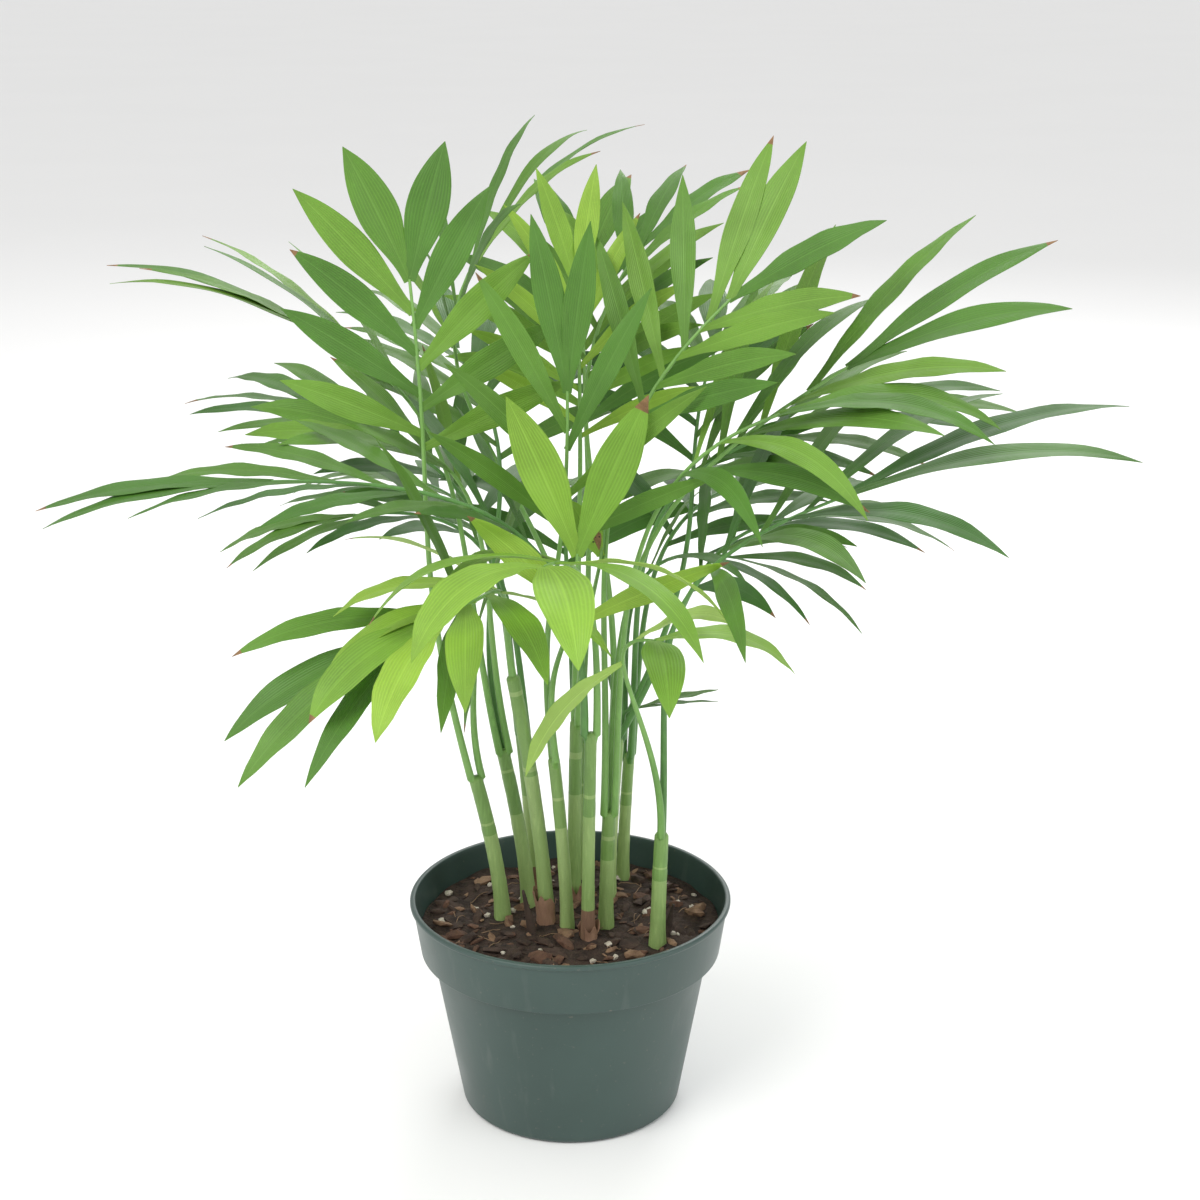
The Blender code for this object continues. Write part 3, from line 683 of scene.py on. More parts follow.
DEEP, MID, YOUNG = "deep", "mid", "young"
YOUNG_FRONDS = ("front_arch", "front_left_low", "right_low", "centre_fan", "spotted", "top_centre")
DEEP_FRONDS = (
    "left_behind", "right_behind", "right_hanging", "back_low_left", "back_low", "back_low_right",
    "back_mid_left", "back_mid_right", "side_left", "side_right", "left_long", "right_mid", "low_small",
)
# A leaflet's upper and under sides. Each tint has three shades, dealt out leaflet by leaflet.
LEAF_COLOURS = {
    DEEP: (
        ((0.040, 0.125, 0.016), (0.085, 0.180, 0.045)),
        ((0.055, 0.150, 0.018), (0.105, 0.205, 0.050)),
        ((0.078, 0.185, 0.022), (0.125, 0.235, 0.055)),
    ),
    MID: (
        ((0.070, 0.180, 0.020), (0.125, 0.235, 0.058)),
        ((0.098, 0.225, 0.024), (0.150, 0.275, 0.062)),
        ((0.135, 0.275, 0.028), (0.185, 0.320, 0.070)),
    ),
    YOUNG: (
        ((0.160, 0.320, 0.030), (0.210, 0.360, 0.072)),
        ((0.205, 0.375, 0.035), (0.255, 0.410, 0.080)),
        ((0.255, 0.430, 0.042), (0.300, 0.460, 0.090)),
    ),
}
UPPER_ROUGH, UNDER_ROUGH = 0.50, 0.58
DRY_NUMBER, SPECK_NUMBER = 6, 7  # of a leaf piece's materials, after the three shades


class Skin(NamedTuple):
    """A natural surface: its main colour, the colour of its darker patches and its textures' sizes."""

    base: tuple
    shade: tuple
    rough: float
    coarse: float  # patches across a metre
    fine: float  # grains across a metre
    bump: float = 0.4
    distance: float = 0.0004
    upright: float = 1.0  # below 1 the texture is drawn out upwards


SKINS = {
    "dry": Skin((0.250, 0.140, 0.060), (0.125, 0.070, 0.030), 0.8, 300, 1400),
    "speck": Skin((0.020, 0.014, 0.008), (0.010, 0.007, 0.004), 0.8, 300, 1400),
    "stalk_deep": Skin((0.090, 0.235, 0.050), (0.055, 0.160, 0.030), 0.42, 60, 900, upright=0.2),
    "stalk_green": Skin((0.180, 0.360, 0.085), (0.110, 0.255, 0.050), 0.42, 60, 900, upright=0.2),
    "stem_green": Skin((0.185, 0.320, 0.080), (0.105, 0.220, 0.045), 0.42, 90, 1100, upright=0.12),
    "stem_pale": Skin((0.300, 0.420, 0.150), (0.190, 0.310, 0.085), 0.46, 90, 1100, upright=0.12),
    "stem_brown": Skin((0.240, 0.140, 0.085), (0.120, 0.065, 0.040), 0.62, 120, 1100, upright=0.12),
    "sheath_dry": Skin((0.360, 0.215, 0.135), (0.175, 0.085, 0.055), 0.72, 120, 1300, upright=0.15),
    "stub_dead": Skin((0.060, 0.038, 0.026), (0.022, 0.014, 0.010), 0.85, 160, 1500),
    "compost": Skin((0.050, 0.028, 0.018), (0.016, 0.009, 0.006), 0.92, 220, 900, 0.9, 0.0012),
    "bark_dark": Skin((0.055, 0.030, 0.019), (0.022, 0.012, 0.008), 0.88, 300, 1500, 0.8),
    "bark_red": Skin((0.120, 0.058, 0.033), (0.055, 0.027, 0.016), 0.86, 300, 1500, 0.8),
    "bark_tan": Skin((0.235, 0.140, 0.080), (0.120, 0.066, 0.038), 0.84, 300, 1500, 0.8),
    "perlite": Skin((0.560, 0.510, 0.430), (0.360, 0.310, 0.240), 0.9, 500, 1900, 0.6),
    "fibre": Skin((0.260, 0.165, 0.095), (0.130, 0.080, 0.045), 0.85, 300, 1700),
}


# Materials


class Look:
    """One Principled material whose colour, roughness and bump come from several layers of texture."""

    def __init__(self, name, base, rough):
        self.material = bpy.data.materials.new(name)
        self.material.use_nodes = True
        self.material.diffuse_color = (*base, 1)
        self.tree = self.material.node_tree
        self.shader = self.tree.nodes["Principled BSDF"]
        self.shader.inputs["Base Color"].default_value = (*base, 1)
        self.shader.inputs["Roughness"].default_value = rough
        self.coords = self.tree.nodes.new("ShaderNodeTexCoord")
        self.rough = rough
        self.base = base
        self.colour = None
        self.height = None

    def fill(self, socket, value):
        """Sets a socket to a plain value, or links it to another node's output."""
        if isinstance(value, bpy.types.NodeSocket):
            self.tree.links.new(value, socket)
        else:
            socket.default_value = value

    def node(self, kind, **values):
        """A new node, with its inputs filled by name. An underscore stands for a space."""
        made = self.tree.nodes.new(kind)
        for name, value in values.items():
            self.fill(made.inputs[name.replace("_", " ")], value)
        return made

    def noise(self, scale, detail=4.0, upright=1.0):
        place = self.coords.outputs["Object"]
        place = self.node("ShaderNodeMapping", Vector=place, Scale=(1, 1, upright)).outputs["Vector"]
        return self.node("ShaderNodeTexNoise", Vector=place, Scale=scale, Detail=detail).outputs["Fac"]

    def remap(self, value, low, high, to_low, to_high):
        ends = {"From_Min": low, "From_Max": high, "To_Min": to_low, "To_Max": to_high}
        return self.node("ShaderNodeMapRange", Value=value, **ends).outputs["Result"]

    def math(self, operation, *values):
        made = self.tree.nodes.new("ShaderNodeMath")
        made.operation = operation
        for socket, value in zip(made.inputs, values):
            self.fill(socket, value)
        return made.outputs["Value"]

    def tint(self, share, colour):
        """Mixes a colour in where share is near 1."""
        made = self.tree.nodes.new("ShaderNodeMix")
        made.data_type = "RGBA"
        self.fill(made.inputs["A"], self.colour or (*self.base, 1))
        self.fill(made.inputs["B"], (*colour, 1))
        self.fill(made.inputs["Factor"], share)
        self.colour = made.outputs["Result"]

    def raised(self, value, amount):
        """Adds a texture to the relief."""
        layer = self.math("MULTIPLY", value, amount)
        self.height = self.math("ADD", self.height, layer) if self.height else layer

    def done(self, gloss=None, spread=0.1, bump=0.3, distance=0.0006):
        """The finished material. gloss is the texture that makes it smoother and rougher."""
        self.fill(self.shader.inputs["Base Color"], self.colour)
        if gloss:
            value = self.remap(gloss, 0.3, 0.7, self.rough - spread, self.rough + spread)
            self.fill(self.shader.inputs["Roughness"], value)
        if self.height:
            relief = self.node("ShaderNodeBump", Strength=bump, Distance=distance, Height=self.height)
            self.fill(self.shader.inputs["Normal"], relief.outputs["Normal"])
        return self.material


def scaled(colour, by):
    return tuple(channel * by for channel in colour)


def leaf_look(name, base, rough):
    """A leaf's skin: patches of deeper and paler green, fine lengthwise veins and a pale midrib."""
    look = Look(name, base, rough)
    patches = look.noise(38.0, 3.0)
    fine = look.noise(900.0, 2.0)
    across = look.node("ShaderNodeSeparateXYZ", Vector=look.coords.outputs["UV"]).outputs["X"]
    veins = look.math("SINE", look.math("MULTIPLY", across, math.tau * VEINS))
    off_middle = look.math("ABSOLUTE", look.math("SUBTRACT", across, 0.5))
    midrib = look.remap(off_middle, 0.008, 0.040, 1.0, 0.0)
    midrib_colour = tuple(min(channel * 1.45 + 0.02, 1.0) for channel in base)
    look.tint(look.remap(patches, 0.38, 0.66, 0.0, 0.75), scaled(base, 0.66))
    look.tint(look.remap(veins, -0.2, 1.0, 0.0, 0.30), scaled(base, 1.45))
    look.tint(look.remap(fine, 0.56, 0.80, 0.0, 0.30), scaled(base, 1.30))
    look.tint(look.math("MULTIPLY", midrib, 0.34), midrib_colour)
    look.raised(veins, 0.30)
    look.raised(fine, 0.18)
    look.shader.inputs["Specular IOR Level"].default_value = 0.38
    look.shader.inputs["Subsurface Weight"].default_value = 0.06
    look.shader.inputs["Subsurface Radius"].default_value = (0.0006, 0.0012, 0.0003)
    look.shader.inputs["Subsurface Scale"].default_value = 1.0
    return look.done(gloss=patches, spread=0.07, bump=0.35, distance=0.00025)


def skin_look(name, skin=None):
    """A natural surface with broad patches, fine grain, specks and relief."""
    skin = skin or SKINS[name]
    look = Look(name, skin.base, skin.rough)
    coarse = look.noise(skin.coarse, 5.0, skin.upright)
    fine = look.noise(skin.fine, 6.0, skin.upright)
    specks = look.noise(skin.fine * 3.1, 2.0)
    look.tint(look.remap(coarse, 0.40, 0.64, 0.0, 0.85), skin.shade)
    look.tint(look.remap(fine, 0.50, 0.76, 0.0, 0.50), scaled(skin.base, 1.35))
    look.tint(look.remap(specks, 0.62, 0.74, 0.0, 0.55), scaled(skin.shade, 0.6))
    look.raised(fine, 1.0)
    look.raised(specks, 0.4)
    return look.done(gloss=coarse, spread=0.08, bump=skin.bump, distance=skin.distance)


def pot_look():
    """Dark satin plastic with a faint mould grain, light scuffs and a little dried soil dust."""
    look = Look("pot_plastic", (0.030, 0.058, 0.050), 0.40)
    haze = look.noise(26.0, 5.0)
    scuffs = look.noise(210.0, 6.0, upright=0.12)
    grain = look.noise(2300.0, 2.0)
    dust = look.noise(640.0, 5.0)
    look.tint(look.remap(haze, 0.40, 0.66, 0.0, 0.7), (0.040, 0.074, 0.064))
    look.tint(look.remap(scuffs, 0.60, 0.74, 0.0, 0.30), (0.100, 0.125, 0.110))
    look.tint(look.remap(dust, 0.66, 0.78, 0.0, 0.35), (0.210, 0.185, 0.140))
    look.raised(grain, 0.5)
    look.raised(scuffs, 0.5)
    return look.done(gloss=haze, spread=0.09, bump=0.18, distance=0.0002)


# Building


class Patchwork:
    """Points and faces gathered into one mesh, with a material number for each face and UVs."""

    def __init__(self):
        self.points = []
        self.faces = []
        self.kinds = []
        self.places = []

    def add(self, points, faces, kinds=0, places=None):
        base = len(self.points)
        self.points += points
        self.faces += [tuple(base + index for index in face) for face in faces]
        self.kinds += kinds if isinstance(kinds, list) else [kinds] * len(faces)
        self.places += places or [(0.0, 0.0)] * len(points)

    def piece(self, name, slot, materials, stands_for=(), sharp=PIECE_SHARP):
        """The finished piece, in place of those CAD nodes."""
        mesh = bpy.data.meshes.new(name)
        mesh.from_pydata(self.points, [], self.faces)
        mesh.polygons.foreach_set("material_index", self.kinds)
        layer = mesh.uv_layers.new(name="UVMap")
        corners = [0] * len(mesh.loops)
        mesh.loops.foreach_get("vertex_index", corners)
        layer.data.foreach_set("uv", [value for corner in corners for value in self.places[corner]])
        for material in materials:
            mesh.materials.append(material)
        mesh.shade_smooth()
        mesh.set_sharp_from_angle(angle=math.radians(sharp))
        mesh.update()
        made = show(bpy.data.objects.new(name, mesh))
        if stands_for:
            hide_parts(*stands_for)
        return made


def show(obj):
    bpy.context.scene.collection.objects.link(obj)
    return obj


def shell_walls(rows, wide, inside):
    """Faces of a thin shell: its two skins and its long edges. Its inner points start at number inside."""
    faces = []
    for row in range(rows - 1):
        left, right = row * wide, row * wide + wide - 1
        for a in range(left, right):
            b = a + 1
            faces.append((a, b, b + wide, a + wide))
            faces.append((inside + a, inside + a + wide, inside + b + wide, inside + b))
        faces.append((left, left + wide, inside + left + wide, inside + left))
        faces.append((right, inside + right, inside + right + wide, right + wide))
    return faces


def blade_rise(half, step):
    """How far a blade's skin stands above its midrib, at that share of its half width."""
    away = abs(step)
    return BLADE_FOLD * half * away * (1 - BLADE_CURL * away)


def fine_blade(leaf, path, chance, shade):
    """A leaflet as a thin closed blade: folded along its midrib, waved at its edges and a little twisted."""
    dry_from = NO_DRY_TIP
    if chance.random() < DRY_TIP_CHANCE:
        dry_from = chance.uniform(0.90, 0.97)
    twist = math.radians(chance.uniform(-BLADE_TWIST, BLADE_TWIST))
    phase = chance.uniform(0, math.tau)
    waves = chance.uniform(2.0, 4.5)
    top, bottom, places, kinds = [], [], [], []
    wide = len(BLADE_STEPS)
    upper, under = 2 * shade, 2 * shade + 1
    for row in range(BLADE_STATIONS):
        share = row / (BLADE_STATIONS - 1)
        k, part, point = path_spot(path, share)
        direction = path[k][1].lerp(path[k + 1][1], part).normalized()
        across = path[k][2].lerp(path[k + 1][2], part).normalized()
        across = Quaternion(direction, twist * share * share) @ across
        normal = across.cross(direction).normalized()
        half = max(half_width(leaf.width, share), TIP_HALF_WIDTH)
        for step in BLADE_STEPS:
            away = abs(step)
            pleat = BLADE_PLEAT * math.cos(step * math.pi * 5)
            turn = waves * math.tau * share + phase + (1.7 if step > 0 else 0.0)
            wave = BLADE_WAVE * away**3 * math.sin(turn)
            lift = blade_rise(half, step) + pleat + wave * min(1, half / FULL_HALF_WIDTH)
            place = point + across * (step * half) + normal * lift
            thick = BLADE_THICKNESS * (1 - 0.55 * away) * min(1.0, 0.35 + half / FULL_HALF_WIDTH)
            keel = BLADE_KEEL * max(0.0, 1 - away * 3) * (1 - share)
            top.append(place)
            bottom.append(place - normal * (thick + keel))
            places.append(((step + 1) / 2, share))
        if row == BLADE_STATIONS - 1:
            break
        if share >= dry_from:
            kinds += [DRY_NUMBER] * (2 * wide)
        else:
            kinds += [upper, under] * (wide - 1) + [upper, upper]
    faces = shell_walls(BLADE_STATIONS, wide, len(top))
    count, last = len(top), (BLADE_STATIONS - 1) * wide
    faces.append((*range(count, count + wide), *range(wide - 1, -1, -1)))
    faces.append((*range(last, last + wide), *range(count + last + wide - 1, count + last - 1, -1)))
    kinds += [upper, upper if dry_from == NO_DRY_TIP else DRY_NUMBER]
    return top + bottom, faces, kinds, places + places


def button(centre, normal, radius):
    """A speck: a low dome that lies on a surface."""
    sides, height = SPECK_SIDES, SPECK_HEIGHT
    side = normal.orthogonal().normalized()
    other = normal.cross(side)
    points = []
    for share, lift in ((1.0, -0.15), (0.72, 0.7)):
        for j in range(sides):
            angle = math.tau * j / sides
            away = math.cos(angle) * side + math.sin(angle) * other
            points.append(centre + radius * share * away + normal * height * lift)
    points.append(centre + normal * height)
    points.append(centre - normal * height * 0.4)
    faces = []
    for j in range(sides):
        beside = (j + 1) % sides
        faces.append((j, beside, sides + beside, sides + j))
        faces.append((sides + j, sides + beside, 2 * sides))
        faces.append((beside, j, 2 * sides + 1))
    return points, faces


def add_specks(work, leaf, path, chance):
    """Black specks on the spotted frond's leaflets."""
    for _ in range(SPECKS):
        share = chance.uniform(SPECK_FROM, SPECK_TO)
        point, _, across, normal = path[int(share * PATH_STEPS)]
        half = half_width(leaf.width, share)
        step = chance.uniform(-SPECK_REACH, SPECK_REACH)
        centre = point + across * (step * half) + normal * (blade_rise(half, step) + 0.5 * SPECK_HEIGHT)
        work.add(*button(centre, normal, chance.uniform(*SPECK_RADII)), SPECK_NUMBER)


def add_dead_patch(work, leaf, path):
    """A dead brown strip along one side of a leaflet, just above its skin."""
    if leaf.hand > 0:
        return
    points, faces = [], []
    for k in range(PATCH_STATIONS):
        share = PATCH_FROM + PATCH_LENGTH * k / (PATCH_STATIONS - 1)
        station, _, point = path_spot(path, share)
        across, normal = path[station][2], path[station][3]
        half = half_width(leaf.width, share)
        reach = math.sin(math.pi * k / (PATCH_STATIONS - 1)) ** 0.5
        for side in (PATCH_INNER, PATCH_INNER + PATCH_REACH * max(reach, 0.05)):
            spot = point + across * (side * half) + normal * (blade_rise(half, side) + PATCH_RISE)
            points += [spot, spot - normal * PATCH_THICKNESS]
    for a in range(0, 4 * (PATCH_STATIONS - 1), 4):
        faces += [(a, a + 2, a + 6, a + 4), (a + 1, a + 5, a + 7, a + 3)]
        faces += [(a, a + 4, a + 5, a + 1), (a + 2, a + 3, a + 7, a + 6)]
    last = 4 * (PATCH_STATIONS - 1)
    faces += [(0, 1, 3, 2), (last, last + 2, last + 3, last + 1)]
    work.add(points, faces, DRY_NUMBER)


def tint_of(name):
    if name in YOUNG_FRONDS:
        return YOUNG
    return DEEP if name in DEEP_FRONDS else MID


def build_leaves(leaves):
    """The leaflets in three pieces, one for each tint."""
    chance = random.Random(SEED + 1)
    made = []
    for tint, colours in LEAF_COLOURS.items():
        work = Patchwork()
        names = [name for name in leaves if tint_of(name) == tint]
        for name in names:
            for leaf, path in leaves[name]:
                shade = chance.randrange(3)
                work.add(*fine_blade(leaf, path, chance, shade))
                if name == "spotted":
                    add_specks(work, leaf, path, chance)
                    add_dead_patch(work, leaf, path)
        materials = []
        for number, (upper, under) in enumerate(colours):
            materials.append(leaf_look(f"leaf_{tint}_{number}_upper", upper, UPPER_ROUGH))
            materials.append(leaf_look(f"leaf_{tint}_{number}_under", under, UNDER_ROUGH))
        materials += [skin_look(f"leaf_{tint}_{kind}", SKINS[kind]) for kind in ("dry", "speck")]
        nodes = ["frond_" + name for name in names]
        made.append(work.piece("leaves_" + tint, "foliage", materials, nodes))
    return made


def build_stalks(lines):
    """Every frond's stalk and rachis: round, tapering, and run on down into the stem that carries it."""
    work = Patchwork()
    for name, (line, lengths) in lines.items():
        stem = STEMS[FRONDS[name].stem]
        top = stem_point(stem, 1.0)
        centres = [top - stem_direction(stem) * STALK_SINK, top.lerp(line[0], 0.5)]
        radii = [STALK_RADIUS, STALK_RADIUS * 1.05]
        for k in range(STALK_RINGS + 1):
            share = k / STALK_RINGS
            centres.append(along(line, lengths, lengths[-1] * share)[0])
            radii.append(stalk_radius(share) * STALK_FINE_SHARE)
        points, faces = tube(centres, radii, STALK_SIDES)
        rows = len(centres)
        places = [(j / STALK_SIDES, k / rows) for k in range(rows) for j in range(STALK_SIDES)]
        work.add(points, faces, 0 if tint_of(name) == DEEP else 1, places)
    looks = [skin_look("stalk_deep"), skin_look("stalk_green")]
    return work.piece("stalks", "foliage", looks, ["frond_" + name for name in lines])


def sheath_levels(chance):
    """Heights, as shares of a stem, where one leaf base ends round the next."""
    levels = []
    level = chance.uniform(*FIRST_SHEATH)
    while level < HIGHEST_SHEATH:
        levels.append(level)
        level += chance.uniform(*SHEATH_SPACING)
    return levels


def stem_colour(share, levels, is_brown):
    """The number of the material at that share of a stem's height: green, pale or brown."""
    if is_brown and share < BROWN_TO:
        return 2
    is_edge = any(0 <= share - level < SHEATH_EDGE for level in levels)
    return 1 if is_edge or share < PALE_TO else 0


def build_stems():
    """Stems with relief: overlapping leaf bases, lengthwise ridges and a dome round the stalks."""
    chance = random.Random(SEED + 2)
    work = Patchwork()
    for name, stem in STEMS.items():
        levels = sheath_levels(chance)
        phase = chance.uniform(0, math.tau)
        centres, radii = [], []
        for k in range(STEM_FINE_RINGS):
            share = k / (STEM_FINE_RINGS - 1)
            radius = stem.radius * flare(share) * (1 + (STEM_TOP_SHARE - 1) * share) * STEM_FINE_SHARE
            passed = sum(1 for level in levels if share > level)
            nearest = [level - share for level in levels if 0 <= level - share < SHEATH_SWELL]
            swell = SHEATH_STEP * (1 - nearest[0] / SHEATH_SWELL) if nearest else 0.0
            centres.append(stem_point(stem, share))
            radii.append(radius * (1 + swell - SHEATH_THINNING * passed))
        top, ahead = centres[-1], stem_direction(stem)
        for rise, size in STEM_DOME:
            centres.append(top + ahead * rise)
            radii.append(stem.radius * size * STEM_TOP_SHARE)
        points, faces = tube(centres, radii, STEM_FINE_SIDES)
        places = []
        for index, point in enumerate(points):
            row, j = divmod(index, STEM_FINE_SIDES)
            angle = math.tau * j / STEM_FINE_SIDES
            ridge = RIDGE_DEPTH * math.cos(STEM_RIDGES * angle + phase)
            ridge += BUMP_DEPTH * noise.noise(point * 420)
            points[index] = centres[row] + (point - centres[row]) * (1 + ridge)
            if row == 0:
                points[index].z = SOIL_TOP - STEM_SINK
            places.append((j / STEM_FINE_SIDES, row / len(centres)))
        is_brown = name in BROWN_STEMS
        kinds = []
        for index in range(len(faces)):
            share = (index // STEM_FINE_SIDES) / STEM_FINE_RINGS
            kinds.append(stem_colour(share, levels, is_brown))
        work.add(points, faces, kinds, places)
    looks = [skin_look(name) for name in ("stem_green", "stem_pale", "stem_brown")]
    return work.piece("stems", "stem", looks, ["stem_" + name for name in STEMS])


def add_wrap(work, stem, chance):
    """A papery dead sheath, torn at its top, that goes most of the way round a stem's foot."""
    height = chance.uniform(*WRAP_HEIGHTS) * stem.height
    start = chance.uniform(0, math.tau)
    turn = math.radians(chance.uniform(*WRAP_TURNS))
    outer, inner = [], []
    for row in range(WRAP_ROWS):
        for j in range(WRAP_SIDES + 1):
            angle = start + turn * j / WRAP_SIDES
            x, y = math.cos(angle), math.sin(angle)
            torn = 0.70 + 0.30 * noise.noise(Vector((x * 2, y * 2, stem.foot[0] * 90)))
            share = row / (WRAP_ROWS - 1)
            rise = height * share * torn
            centre = stem_point(stem, rise / stem.height)
            centre.z = SOIL_TOP - WRAP_SINK + rise
            crumple = WRAP_CRUMPLE * noise.noise(Vector((x * 3, y * 3, rise * 500)))
            away = Vector((x, y, 0))
            reach = stem.radius * flare(rise / stem.height) + WRAP_CLEAR + crumple + WRAP_SPREAD * share**2.5
            outer.append(centre + away * (reach + WRAP_THICKNESS))
            inner.append(centre + away * reach)
    wide, inside = WRAP_SIDES + 1, len(outer)
    faces = shell_walls(WRAP_ROWS, wide, inside)
    last = (WRAP_ROWS - 1) * wide
    for j in range(WRAP_SIDES):
        a = last + j
        faces.append((a, a + 1, inside + a + 1, inside + a))
        faces.append((j + 1, j, inside + j, inside + j + 1))
    work.add(outer + inner, faces)


def build_sheaths():
    """Dead sheaths round the feet of some stems, and two dead stubs."""
    chance = random.Random(SEED + 3)
    work = Patchwork()
    for name in WRAPPED_STEMS:
        add_wrap(work, STEMS[name], chance)
    for x, y, lean_x, lean_y, height in STUBS:
        centres, radii = [], []
        for k in range(STUB_STEPS + 1):
            rise = SOIL_TOP - STEM_SINK + height * k / STUB_STEPS
            centres.append(Vector((x + lean_x * k / STUB_STEPS, y + lean_y * k / STUB_STEPS, rise)))
            radii.append(STUB_RADIUS * (1 - 0.06 * k) * (1 + 0.10 * noise.noise(centres[k] * 500)))
        work.add(*tube(centres, radii, STUB_SIDES), 1)
    return work.piece("sheaths", "stem", [skin_look("sheath_dry"), skin_look("stub_dead")])


def rounded(profile, size):
    """A profile with a small arc in place of each of its corners."""
    made = [profile[0]]
    for before, corner, after in zip(profile, profile[1:], profile[2:]):
        here = Vector((*corner, 0))
        back = Vector((*before, 0)) - here
        on = Vector((*after, 0)) - here
        cut = min(size, 0.42 * back.length, 0.42 * on.length)
        a, b = here + back.normalized() * cut, here + on.normalized() * cut
        for k in range(ROUNDING_STEPS + 1):
            share = k / ROUNDING_STEPS
            point = (1 - share) ** 2 * a + 2 * share * (1 - share) * here + share**2 * b
            made.append((point.x, point.y))
    made.append(profile[-1])
    return made


def drain_drills():
    """The drain holes, as rods through the pot's floor."""
    shape = bmesh.new()
    for k in range(DRAIN_HOLES):
        angle = math.tau * (k + 0.5) / DRAIN_HOLES
        sizes = {"radius1": DRAIN_RADIUS, "radius2": DRAIN_RADIUS, "depth": 6 * POT_WALL}
        made = bmesh.ops.create_cone(shape, cap_ends=True, segments=DRAIN_SIDES, **sizes)
        place = Vector((DRAIN_CIRCLE * math.cos(angle), DRAIN_CIRCLE * math.sin(angle), 0))
        bmesh.ops.translate(shape, verts=made["verts"], vec=place)
    return show(bpy.data.objects.new("drills", mesh_of("drills", shape)))


def build_fine_pot():
    """The pot again: round, with softened edges and the same drain holes."""
    mouth = [(POT_TOP_RADIUS - LIP_OVERHANG - POT_WALL + MOUTH_SPREAD, POT_HEIGHT)]
    profile = pot_outside() + mouth + pot_inside(0)[::-1] + [(0, POT_WALL)]
    shell = turned(rounded(profile, POT_ROUNDING), POT_FINE_SIDES)
    pot = show(bpy.data.objects.new("pot_shell", shell))
    cutter = drain_drills()
    cut = pot.modifiers.new("drain", "BOOLEAN")
    cut.operation = "DIFFERENCE"
    cut.object = cutter
    bpy.context.view_layer.update()
    pot.data = bpy.data.meshes.new_from_object(pot.evaluated_get(bpy.context.evaluated_depsgraph_get()))
    pot.modifiers.clear()
    bpy.data.objects.remove(cutter, do_unlink=True)
    pot.data.materials.clear()
    pot.data.materials.append(pot_look())
    pot.data.shade_smooth()
    pot.data.set_sharp_from_angle(angle=math.radians(POT_SHARP))
    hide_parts("pot")
    return pot


def soil_edge():
    """The radius of the soil's top, where it meets the pot's wall."""
    side = pot_inside(GAP)
    share = (SOIL_TOP - side[2][1]) / (side[3][1] - side[2][1])
    return side[2][0] + share * (side[3][0] - side[2][0])


def fine_soil_height(x, y, edge):
    """The source's soil surface with crumbs on it, which flatten out at the pot's wall."""
    crumbs = 0.0008 * noise.noise(Vector((x, y, 1.3)) * 260)
    crumbs += 0.0004 * noise.noise(Vector((x, y, 2.1)) * 700)
    return soil_height(x, y) + crumbs * min(1.0, (edge - math.hypot(x, y)) / 0.002 + 0.2)


def on_soil(x, y, edge, rise=0.0):
    return Vector((x, y, fine_soil_height(x, y, edge) + rise))


def build_fine_soil():
    """The compost again, with a finer top."""
    edge = soil_edge()
    sides = SOIL_FINE_SIDES
    rows = [(radius, height, False) for radius, height in pot_inside(GAP)[:3]]
    rows += [(edge * (1 - k / SOIL_FINE_RINGS), 0, True) for k in range(SOIL_FINE_RINGS)]
    points = []
    for radius, height, is_top in rows:
        for k in range(sides):
            angle = math.tau * k / sides
            x, y = radius * math.cos(angle), radius * math.sin(angle)
            points.append(on_soil(x, y, edge) if is_top else Vector((x, y, height)))
    points.append(on_soil(0, 0, edge))
    faces = ring_faces(len(rows), sides)
    last = (len(rows) - 1) * sides
    faces += [(last + k, last + (k + 1) % sides, len(points) - 1) for k in range(sides)]
    faces.append(tuple(reversed(range(sides))))
    work = Patchwork()
    work.add(points, faces)
    return work.piece("soil_bed", "soil", [skin_look("compost")], ["soil"])


def lump(centre, sizes, turn, chance, detail=1):
    """A small irregular grain: a ball of faces, squashed and knocked about."""
    shape = bmesh.new()
    bmesh.ops.create_icosphere(shape, subdivisions=detail, radius=1.0)
    offset = Vector((chance.uniform(0, 50), chance.uniform(0, 50), chance.uniform(0, 50)))
    points = []
    for vert in shape.verts:
        knocked = vert.co * (1 + 0.55 * noise.noise(vert.co * 1.4 + offset))
        points.append(centre + turn @ Vector(knocked[i] * sizes[i] for i in range(3)))
    faces = [tuple(vert.index for vert in face.verts) for face in shape.faces]
    shape.free()
    return points, faces


def soil_spot(edge, clear, chance):
    """A place on the soil at least that far from the pot's wall."""
    radius = (edge - clear) * math.sqrt(chance.random())
    angle = chance.uniform(0, math.tau)
    return radius * math.cos(angle), radius * math.sin(angle)


def bark_chips(edge, chance):
    chips = Patchwork()
    for _ in range(BARK_CHIPS):
        long = chance.uniform(*(SMALL_CHIPS if chance.random() < SMALL_CHIP_CHANCE else LARGE_CHIPS))
        x, y = soil_spot(edge, long + WALL_CLEAR, chance)
        sizes = (long, long * chance.uniform(0.35, 0.7), long * chance.uniform(0.18, 0.4))
        tilt = Quaternion((chance.uniform(-1, 1), chance.uniform(-1, 1), 0.01), chance.uniform(0, 0.6))
        turn = Quaternion(UP, chance.uniform(0, math.tau)) @ tilt
        centre = on_soil(x, y, edge, 0.35 * sizes[2])
        chips.add(*lump(centre, sizes, turn, chance), chance.choice((0, 0, 1, 2)))
    bark = [skin_look(name) for name in ("bark_dark", "bark_red", "bark_tan")]
    return chips.piece("bark_chips", "soil", bark, sharp=CHIP_SHARP)


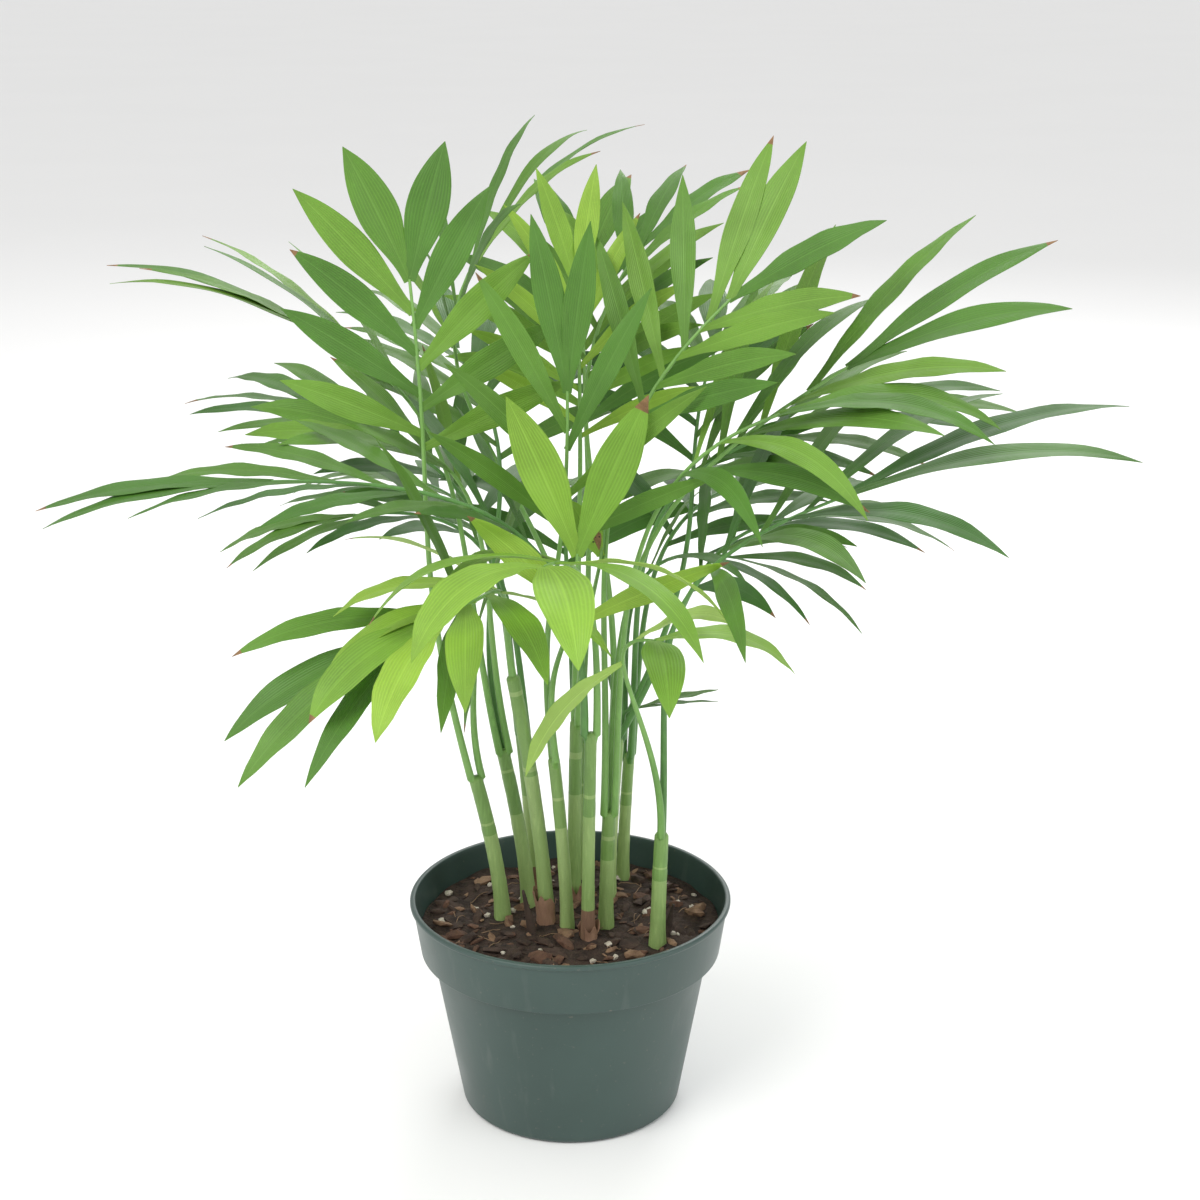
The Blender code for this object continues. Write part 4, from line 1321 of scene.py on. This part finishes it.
def perlite_grains(edge, chance):
    grains = Patchwork()
    for _ in range(PERLITE_GRAINS):
        size = chance.uniform(*GRAIN_SIZES)
        x, y = soil_spot(edge, size + WALL_CLEAR, chance)
        sizes = (size, size * chance.uniform(0.7, 1.0), size * chance.uniform(0.6, 0.9))
        centre = on_soil(x, y, edge, 0.5 * sizes[2])
        turn = Quaternion(UP, chance.uniform(0, math.tau))
        grains.add(*lump(centre, sizes, turn, chance, detail=2))
    return grains.piece("perlite_grains", "soil", [skin_look("perlite")])


def root_fibres(edge, chance):
    fibres = Patchwork()
    for _ in range(FIBRES):
        x, y = soil_spot(edge, FIBRE_CLEAR, chance)
        heading = chance.uniform(0, math.tau)
        bend = chance.uniform(-1.2, 1.2)
        length = chance.uniform(*FIBRE_LENGTHS)
        centres = []
        for k in range(FIBRE_STEPS + 1):
            share = k / FIBRE_STEPS
            centres.append(on_soil(x, y, edge, 0.0003 + 0.0007 * math.sin(math.pi * share)))
            x += length / FIBRE_STEPS * math.cos(heading + bend * share)
            y += length / FIBRE_STEPS * math.sin(heading + bend * share)
        fibres.add(*tube(centres, [FIBRE_RADIUS] * len(centres), FIBRE_SIDES))
    return fibres.piece("root_fibres", "soil", [skin_look("fibre")])


def build_litter():
    """What lies on the soil, each kind its own piece."""
    chance = random.Random(SEED + 4)
    edge = soil_edge()
    return [make(edge, chance) for make in (bark_chips, perlite_grains, root_fibres)]


def build_stage():
    """A plain pale floor, soft lights and the photo's camera."""
    mesh = bpy.data.meshes.new("floor")
    square = ((-1, -1), (1, -1), (1, 1), (-1, 1))
    corners = [(x * FLOOR_REACH, y * FLOOR_REACH, FLOOR_HEIGHT) for x, y in square]
    mesh.from_pydata(corners, [], [(0, 1, 2, 3)])
    floor = show(bpy.data.objects.new("floor", mesh))
    look = Look("floor_paint", (0.86, 0.86, 0.855), 0.75)
    look.tint(look.remap(look.noise(3.0), 0.4, 0.6, 0.0, 0.3), (0.84, 0.84, 0.835))
    mesh.materials.append(look.done())
    for name, (place, size, power, colour) in LIGHTS.items():
        light = bpy.data.lights.new(name, "AREA")
        light.size = size
        light.energy = power
        light.color = colour
        lamp = show(bpy.data.objects.new(name, light))
        lamp.location = place
        lamp.rotation_euler = (LIGHT_AIM - lamp.location).to_track_quat("-Z", "Y").to_euler()
    world = bpy.data.worlds.new("studio")
    world.use_nodes = True
    background = world.node_tree.nodes["Background"]
    background.inputs["Color"].default_value = (1.0, 1.0, 1.0, 1)
    background.inputs["Strength"].default_value = WORLD_STRENGTH
    scene = bpy.context.scene
    scene.world = world
    camera = show(bpy.data.objects.new("camera", bpy.data.cameras.new("camera")))
    camera.data.lens = CAMERA_LENS
    camera.data.sensor_width = SENSOR_WIDTH
    camera.location = CAMERA_PLACE
    camera.rotation_euler = (math.radians(CAMERA_TILT), 0, 0)
    scene.camera = camera
    scene.view_settings.view_transform = "Standard"


def main():
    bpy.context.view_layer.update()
    lines, leaves = grow()
    pieces = build_leaves(leaves)
    pieces += [build_stalks(lines), build_stems(), build_sheaths(), build_fine_pot(), build_fine_soil()]
    pieces += build_litter()
    for piece in pieces:
        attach(piece, "root")
    build_stage()


main()
